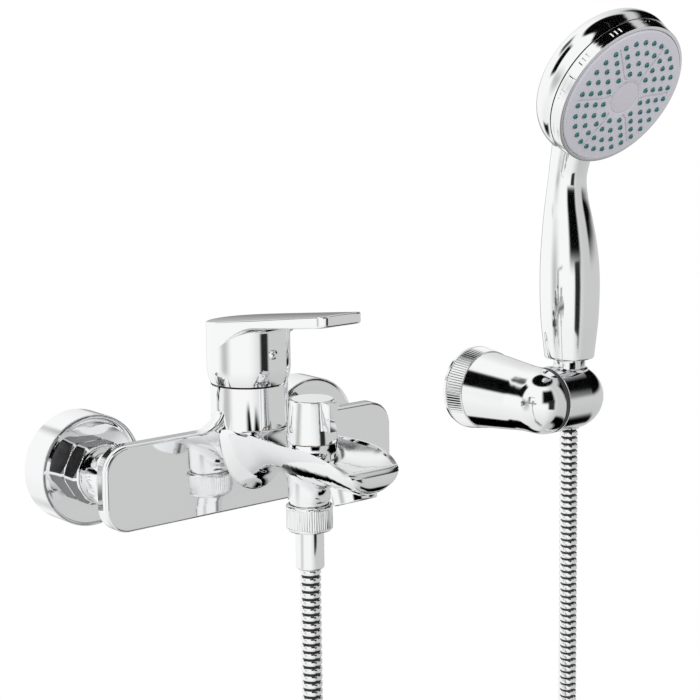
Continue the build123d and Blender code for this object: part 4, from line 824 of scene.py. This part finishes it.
washer_rows = soft_corners([(4.05, 0.0), (20.5, 0.0), (20.5, 3.4), (4.05, 3.4), (4.05, 0.0)], 0.4)
washer_rings = about(washer_rows, SEAM_PLACE, RIGHT, UP, 128)
dress(solid("bracket_washer_skin", [washer_rings]), "bracket_washer")

# %% [markdown]
# The holder is a short thick stub with a rounded end. A cone is bored down through it for the
# handset's foot, and a slot on its right lets the hose in. Bore and slot are cut with solids.

# %% Holder
SLOT_HALF, SLOT_START, SLOT_END = 6.5, 235.0, 275.0
SLOT_LOW, SLOT_HIGH = -19.6, 25.6

stub_profile = np.vstack(
    [
        soft_corners([(0.0, -19.3), (BALL_RADIUS, -19.3), (BALL_RADIUS, -0.4)], 0.5)[:-1],
        dome(BALL_RADIUS, 0.0, 22.5, 32),
    ]
)
stub = solid("bracket_holder_skin", [about(stub_profile, (HANDSET_X, SWIVEL_Y, SWIVEL_Z), RIGHT, UP, 160)])
socket_rows = soft_corners([(0.0, -19.5), (8.6, -19.5), (12.44, 25.5), (0.0, 25.5)], 0.2, 3)
socket_cut = solid("socket cut", [about(socket_rows, (HANDSET_X, HANDSET_Y, 0.0), UP, RIGHT, 96)])
slot_front, slot_back = HANDSET_Y - SLOT_HALF, HANDSET_Y + SLOT_HALF
slot_plan = [(SLOT_START, slot_front), (SLOT_END, slot_front), (SLOT_END, slot_back), (SLOT_START, slot_back)]
slot_rings = np.array([[(x, y, z) for x, y in slot_plan] for z in (SLOT_LOW, SLOT_HIGH)])
slot_cut = solid("slot cut", [capped(slot_rings)])
dress(combined(stub, [socket_cut, slot_cut], "DIFFERENCE"), "bracket_holder")

# %% [markdown]
# The handset is one moulding. Its handle could be swept along a curve, but a row of round sections
# whose height, radius, drift and lean change along it follows the photograph more closely. Its head
# is a bowl turned about the spray's own axis.

# %% Handle of the handset
FACE_HEIGHT, HANDLE_BOTTOM = 191.5, 27.8
NECK_HEIGHT = FACE_HEIGHT - 51.3
FACE_CENTRE = np.array([HANDSET_X, -106.8, FACE_HEIGHT])
TILT = np.radians(29.4)
BACKWARDS = (0.0, float(np.cos(TILT)), float(np.sin(TILT)))
GRIP_RADIUS = 18.6
LEAN_WEIGHT = 20

grip_shares = np.array([0, 0.097, 0.208, 0.32, 0.432, 0.551, 0.662, 0.774, 0.893, 1.0])
grip_heights = HANDLE_BOTTOM + (NECK_HEIGHT - HANDLE_BOTTOM) * grip_shares
heights = np.append(grip_heights, FACE_HEIGHT - np.array([39.1, 26.6, 12.5]))
radii = GRIP_RADIUS * np.array(
    [0.825, 0.89, 0.96, 0.992, 1.0, 0.973, 0.91, 0.82, 0.705, 0.635, 0.66, 0.7, 0.62]
)
drift = GRIP_RADIUS * np.array([0, 0, 0, 0, 0, 0.02, 0.05, 0.1, 0.15, 0.13, 0.0, -0.22, -0.75])
lean = TILT * np.array([0, 0, 0, 0, 0, 0, 0, 0, 0.05, 0.2, 0.45, 0.7, 1.0])
sections = smooth_curve(np.column_stack([heights, radii, drift, lean * LEAN_WEIGHT]), 10)
foot = np.array([(27.8, 0.0), (27.8, 13.6), (27.84, 14.4), (28.0, 14.95), (28.4, 15.3)])
foot = np.column_stack([foot, np.zeros((len(foot), 2))])
sections = np.vstack([foot, sections[1:]])
sections = np.vstack([sections, sections[-1:] * (1, 0, 1, 1)])
turn = np.linspace(0, 2 * np.pi, 128, endpoint=False)
section_height, section_radius, section_drift, slant = np.hsplit(sections, 4)
slant = slant / LEAN_WEIGHT
handle_rings = np.stack(
    [
        HANDSET_X + section_radius * np.cos(turn),
        section_drift + HANDSET_Y + section_radius * np.sin(turn) * np.cos(slant),
        section_height + section_radius * np.sin(turn) * np.sin(slant),
    ],
    axis=-1,
)
print("handle of", len(sections), "sections")

# %% Head of the handset
BOWL_RADIUS, BOWL_DEPTH = 48.6, 36.5
BOWL_SHARES = np.array(
    [(0.979, 0.258), (1.0, 0.44), (0.957, 0.644), (0.864, 0.784), (0.7, 0.877), (0.37, 0.973), (0.0, 1.0)]
)
bowl = smooth_curve(BOWL_SHARES * (BOWL_RADIUS, BOWL_DEPTH), 8, (0.0, 1.0), (-1.0, 0.0))
bowl = np.vstack([[(0.0, 9.4), (46.9, 9.4), (47.35, 9.42)], bowl])
head_rings = about(bowl, FACE_CENTRE, BACKWARDS, RIGHT, 192)
shell = solid("handset_shell_skin", [handle_rings])
dress(combined(shell, [solid("head", [head_rings])], "UNION"), "handset_shell")

# %% [markdown]
# The spray ring turns to choose a spray. Its front edge is soft, and groups of three short ticks
# are pressed into it, with one longer tick as its pointer. They are carved in the mesh, as a
# smaller radius at some turns, so that their walls catch the light like the real ones.

# %% Spray ring
RING_TURNS = 960
TICK_GROUP, TICK_STEP, TICK_WIDTH, TICK_DEPTH, POINTER_TURN = 30.0, 3.75, 0.95, 0.45, 195.0
TICK_SPAN, POINTER_SPAN, RING_FACE = (3.4, 6.6), (1.9, 8.4), 46

ring_profile = np.vstack(
    [
        soft_corners([(44.3, 9.0), (44.3, 1.2), (46.55, 1.2), (46.74, 3.1)], 0.35)[:-1],
        np.linspace((46.74, 3.1), (46.78, 3.35), 2),
        np.linspace((46.8, 3.45), (47.08, 6.55), 6),
        np.linspace((47.1, 6.65), (47.13, 7.0), 2),
        soft_corners([(47.2, 7.6), (47.3, 9.0), (44.3, 9.0)], 0.35)[1:],
    ]
)


def carved_depth(degrees_off, span):
    """Depth of a mark: 1 at its middle, falling to 0 at its sides, on the ring's rows in the span."""
    across_mark = np.clip(1.5 - 2 * degrees_off / TICK_WIDTH, 0, 1)
    rows = (ring_profile[:, 0] > RING_FACE) & (ring_profile[:, 1] > span[0]) & (ring_profile[:, 1] < span[1])
    return rows[:, None] * across_mark


ring_turn = np.degrees(np.linspace(0, 2 * np.pi, RING_TURNS, endpoint=False))
from_group = (ring_turn + TICK_GROUP / 2) % TICK_GROUP - TICK_GROUP / 2
from_tick = np.min(np.abs(from_group[:, None] - np.array([-TICK_STEP, 0.0, TICK_STEP])), axis=1)
ticks = carved_depth(from_tick, TICK_SPAN)
pointer = carved_depth(np.abs(ring_turn - POINTER_TURN), POINTER_SPAN)
ring_radius = ring_profile[:, :1] - TICK_DEPTH * np.maximum(ticks, pointer)
ring_grid = about(ring_profile, FACE_CENTRE, BACKWARDS, RIGHT, RING_TURNS, ring_radius)
dress(solid("spray_ring_skin", [ring_grid]), "spray_ring")

# %% [markdown]
# Water leaves through 84 soft nozzles of one silicone mat, which a thumb can rub clean. They stand
# a little out of the plate in four rings. Each is a turned form of its own, placed by a loop and
# sunk as the plate's crown falls away. A small disc closes the middle.

# %% Nozzles and centre disc
NOZZLE_RINGS = [(36.6, 30, -127.3), (29.9, 24, -128.4), (23.0, 18, -130.6), (16.5, 12, -134.3)]
CROWN, CROWN_RADIUS = 1.6, 42.9
NOZZLE = [(0.0, 0.35), (0.55, 0.3), (0.62, -0.85), (0.85, -1.05), (1.2, -0.95), (1.42, -0.55)]
NOZZLE += [(1.5, 0.9), (0.0, 0.9)]
MAT = [(0.0, 2.6), (41.9, 2.6), (41.9, 9.3), (0.0, 9.3)]

down_face = np.cross(BACKWARDS, RIGHT)
nozzle_grids = []
for ring_size, count, phase in NOZZLE_RINGS:
    sunk = CROWN * (1 - (ring_size / CROWN_RADIUS) ** 2) * np.array(BACKWARDS)
    for nozzle_turn in np.radians(phase + np.arange(count) * 360 / count):
        spot = ring_size * (np.cos(nozzle_turn) * np.array(RIGHT) + np.sin(nozzle_turn) * down_face)
        nozzle_grids.append(about(NOZZLE, FACE_CENTRE + spot - sunk, BACKWARDS, RIGHT, 14))
nozzle_grids.append(about(MAT, FACE_CENTRE, BACKWARDS, RIGHT, 96))
dress(solid("nozzle_mat_skin", nozzle_grids), "nozzle_mat")

disc_rows = np.vstack(
    [
        soft_corners([(0.0, 0.5), (10.45, 0.5), (10.45, -1.35)], 0.3),
        [(10.3, -1.52), (9.9, -1.62), (6.0, -1.72), (0.0, -1.76)],
    ]
)
dress(solid("centre_disc_skin", [about(disc_rows, FACE_CENTRE, BACKWARDS, RIGHT, 96)]), "centre_disc")

# %% [markdown]
# The lever and its cap are one casting. Seen from above its outline is the hull of the cap's circle
# and two corner circles. One run of rings makes all of it: out of the cavity, up the cap, along the
# blade's underside, round its edge and back over the crowned top.

# %% Outline of the lever
CAP_AXIS = np.array([0.0, -61.5])
CAP_RADIUS = 22.7
TIP_CORNER, TIP_HALF, TIP_REACH = 5.0, 14.0, 144.3

right_corner = np.array([TIP_HALF - TIP_CORNER, TIP_CORNER - TIP_REACH])
left_corner = right_corner * (-1, 1)
to_corner = right_corner - CAP_AXIS
tangent = np.arccos((CAP_RADIUS - TIP_CORNER) / np.hypot(*to_corner))
tangent += np.arctan2(to_corner[0], -to_corner[1])


def circle_part(centre, radius, first, last, count):
    """Part of a circle, by the angle of its normal from straight ahead towards the right."""
    angle = np.linspace(first, last, count)[:, None]
    return np.asarray(centre) + radius * np.hstack([np.sin(angle), -np.cos(angle)])


front = np.linspace(left_corner - (0, TIP_CORNER), right_corner - (0, TIP_CORNER), 14)[:-1]
right_round = circle_part(right_corner, TIP_CORNER, 0.0, tangent, 16)
cap_round = circle_part(CAP_AXIS, CAP_RADIUS, tangent, 2 * np.pi - tangent, 120)
left_round = circle_part(left_corner, TIP_CORNER, -tangent, 0.0, 16)
right_side = np.linspace(right_round[-1], cap_round[0], 40)[1:-1]
left_side = np.linspace(cap_round[-1], left_round[0], 40)[1:-1]
outline = np.concatenate([front, right_round, right_side, cap_round, left_side, left_round[:-1]])
reach_out = np.linalg.norm(outline - CAP_AXIS, axis=1)
spoke = (outline - CAP_AXIS) / reach_out[:, None]
reach_out = np.maximum(reach_out, CAP_RADIUS)
print("lever outline of", len(outline), "points")

# %% Heights of the lever
CAP_TOP, CROWN_HEIGHT, TOP_SLOPE = 79.9, 0.9, float(np.tan(np.radians(7.6)))
UNDER_HEIGHT, UNDER_SLOPE, UNDER_REACH, UNDER_BEND, UNDER_LOWEST = 79.3, 0.1214, 92.0, 0.0137, 67.0


def blade_top(radius):
    """Height along each spoke: top + slope * y + crown * (1 - (x / cap radius)^2)."""
    crown = CROWN_HEIGHT * (1 - (radius * spoke[:, 0] / CAP_RADIUS) ** 2)
    return CAP_TOP - TOP_SLOPE * radius * spoke[:, 1] + crown


def blade_bottom(radius):
    """Height of the underside: h + slope * (y - y0), less bend * (y0 - y)^2 behind y0, not too low."""
    reach = -CAP_AXIS[1] - radius * spoke[:, 1]
    behind = np.maximum(UNDER_REACH - reach, 0.0)
    slanted = UNDER_HEIGHT + UNDER_SLOPE * (reach - UNDER_REACH)
    return np.maximum(slanted - UNDER_BEND * behind**2, UNDER_LOWEST)


print("lever's tip", round(float(blade_top(reach_out).max()), 1), "mm high")

# %% Rings of the lever
CAVITY_RADIUS, CAVITY_TOP, PIVOT_HEIGHT, CAP_FOOT = 20.6, 69.5, 54.5, 45.5
UNDER_SHARES = (0.0, 0.2, 0.4, 0.7, 1.0)
OVER_SHARES = (1.0, 0.94, 0.85, 0.7, 0.5, 0.3, 0.12)
EDGE_EASE = [3.5, 9.0, 9.0, 9.0, 1.7, 1.1] + [9.0] * 6


def on_spokes(radius, height):
    """A profile corner on every spoke."""
    return np.stack([np.broadcast_to(size, reach_out.shape) for size in (radius, height)], axis=-1)


def zone(radius, first, last, count=9):
    """Rows along a ball zone about the pivot: radius sqrt(r^2 - z^2) at each height z between two."""
    rise = np.linspace(first - PIVOT_HEIGHT, last - PIVOT_HEIGHT, count)
    return np.stack([on_spokes(np.sqrt(radius**2 - step**2), PIVOT_HEIGHT + step) for step in rise])


under = [CAP_RADIUS + (reach_out - CAP_RADIUS) * share for share in UNDER_SHARES]
over = [reach_out * share for share in OVER_SHARES]
cavity = ((0, CAVITY_TOP), (CAVITY_RADIUS, CAVITY_TOP), (CAVITY_RADIUS, PIVOT_HEIGHT))
blade_corners = (
    [on_spokes(CAP_RADIUS, PIVOT_HEIGHT + 1)]
    + [on_spokes(radius, blade_bottom(radius)) for radius in under]
    + [on_spokes(radius, blade_top(radius)) for radius in over]
    + [on_spokes(0.0, CAP_TOP + CROWN_HEIGHT)]
)
handle_profile = np.concatenate(
    [
        soft_corners([on_spokes(*cavity_corner) for cavity_corner in cavity], 3.0),
        zone(CAVITY_RADIUS, PIVOT_HEIGHT, CAP_FOOT)[1:],
        zone(CAP_RADIUS, CAP_FOOT, PIVOT_HEIGHT),
        soft_corners(blade_corners, EDGE_EASE, 6),
    ]
)
plan = CAP_AXIS + handle_profile[..., :1] * spoke
dress(solid("handle_skin", [np.concatenate([plan, handle_profile[..., 1:]], axis=-1)]), "handle")

# %% Screw plug
PLUG_PLACE, PLUG_RADIUS = (0.0, -81.2, 62.7), 2.7
plug_rows = np.vstack(
    [
        [(0.0, 0.0), (PLUG_RADIUS, 0.0)],
        np.linspace((PLUG_RADIUS, 2.4), (PLUG_RADIUS, 3.2), 3),
        dome(PLUG_RADIUS, 3.2, 1.7, 32)[1:],
    ]
)
dress(solid("screw_plug_skin", [about(plug_rows, PLUG_PLACE, OUT, RIGHT, 48)]), "screw_plug")

# %% [markdown]
# The spout's top is hollowed like a hammock between its lips, runs up behind the diverter and
# rolls over at the tip, where a bulging front closes it. The casting under it is made of facets,
# so a lid with that surface lies in its pan, and the front is a second thin shell before its tip.

# %% Lips and floor of the deck
PLATE_FRONT, PLATE_TOP, SPOUT_REACH, SPOUT_HALF = 67.0, 22.3, 168.6, 18.5
LIP_REACH = PLATE_FRONT + (SPOUT_REACH - PLATE_FRONT) * np.array([0.13, 0.23, 0.47, 0.82, 0.915, 0.975, 1.0])
LIP_HEIGHT = PLATE_TOP * np.array([0.99, 0.978, 0.951, 0.915, 0.79, 0.668, 0.614])
LIP_HALF = SPOUT_HALF * np.array([1.01, 0.99, 1.01, 1.04, 0.995, 0.90, 0.825])
DECK_START, RAMP_END, EDGE_START, ROLL_START = 86.0, 103.0, 158.0, 165.3
FLOOR_START, FLOOR_LEVEL, FLOOR_RISE = 92.0, 12.1, 0.0332
ACROSS, ALONG = 33, 44


def eased(value, first, last):
    """0 up to the first value, 1 from the last one, and t^2 (3 - 2t) between them."""
    t = np.clip((value - first) / (last - first), 0, 1)
    return t**2 * (3 - 2 * t)


across = np.linspace(-1, 1, ACROSS)[None, :]
deck_reach = np.linspace(DECK_START, ROLL_START, ALONG)[:, None]
at_edge = eased(deck_reach, EDGE_START, ROLL_START)
lip = np.interp(deck_reach, LIP_REACH, LIP_HEIGHT) - 0.05 + 0.1 * at_edge
half = np.interp(deck_reach, LIP_REACH, LIP_HALF) - 1.3 * (1 - at_edge)
floor_line = FLOOR_LEVEL + FLOOR_RISE * (deck_reach - FLOOR_START) + 0.4 * at_edge
middle_line = lip + (np.minimum(floor_line, lip) - lip) * eased(deck_reach, DECK_START, RAMP_END)
deck_top = middle_line + (lip - middle_line) * across**2
print("deck", round(float((lip - middle_line).max()), 1), "mm deep")

# %% Roll of the deck
ROLL_HEIGHT, ROLL_RADIUS, ROLL_END = 10.35, 4.9, np.radians(62)
TIP_BULGE = 2.2
DECK_THICKNESS = 0.8

roll = np.linspace(0, ROLL_END, 14)[1:, None]
roll_reach = ROLL_START + np.sin(roll) * (ROLL_RADIUS - 1.0 + TIP_BULGE * (1 - np.abs(across) ** 5))
roll_top = ROLL_HEIGHT + ROLL_RADIUS * np.cos(roll) + 0 * across
roll_edge = ROLL_START + (SPOUT_REACH - ROLL_START) * np.sin(roll) / np.sin(ROLL_END)
roll_half = np.interp(roll_edge, LIP_REACH, LIP_HALF) + 0.05
upper = np.stack(
    [
        np.vstack([half, roll_half]) * across,
        -np.vstack([deck_reach + 0 * across, roll_reach]),
        np.vstack([deck_top, roll_top]),
    ],
    axis=-1,
)
lower = upper * (0.97, 1, 1) - (0, 0, DECK_THICKNESS)
lower[ALONG:, :, 1] += DECK_THICKNESS
deck_grid = capped(np.concatenate([upper, lower[:, ::-1]], axis=1))
print("deck grid of", deck_grid.shape[:2])

# %% Front of the spout
TIP_TOP, TIP_DEPTH, TIP_HALF_WIDTH = 13.7, 9.46, 15.26
FRONT_THICKNESS = 0.6

edge_height = ROLL_HEIGHT + ROLL_RADIUS * np.cos(ROLL_END)
fall = np.linspace(0, 1, 22)[:, None]
tip_height = edge_height + (TIP_TOP - TIP_DEPTH - edge_height) * fall
tip_half = TIP_HALF_WIDTH * np.sqrt(np.clip(1 - ((TIP_TOP - tip_height) / TIP_DEPTH) ** 2, 0, 1))
bulge = (roll_reach[-1:] - SPOUT_REACH) * (1 - fall**4)
tip_front = np.stack([tip_half * across, -SPOUT_REACH - bulge, tip_height + 0 * across], axis=-1)
tip_back = tip_front * (0.96, 0, 1) - (0, SPOUT_REACH - FRONT_THICKNESS, 0)
tip_grid = capped(np.concatenate([tip_front, tip_back[:, ::-1]], axis=1))

for piece_name, grid, finish in (("spout_deck", deck_grid, deck_finish), ("spout_front", tip_grid, chrome)):
    piece = solid(piece_name, [grid])
    piece.data.materials.append(finish)
    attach(piece, "mixer")
    print(piece_name, len(piece.data.polygons), "faces")

# %% [markdown]
# The casting, the diverter's knob, the small turned parts and all that is hidden inside keep the
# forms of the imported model. Their facets are fine enough, so they are only merged and shaded
# smooth up to their sharp edges.

# %% Smooth skins for the other nodes
def smooth_copy(node_name):
    """A node's own facets, merged and shaded smooth, for the pieces that need no finer skin."""
    mesh = frame["nodes"][node_name].data.copy()
    mesh.name = node_name + "_skin"
    finish_mesh(mesh)
    return dress(place_object(node_name + "_skin", mesh), node_name)


for node_name in frame["nodes"]:
    if slot_of_node[node_name] != "hose" and node_name not in dressed:
        smooth_copy(node_name)
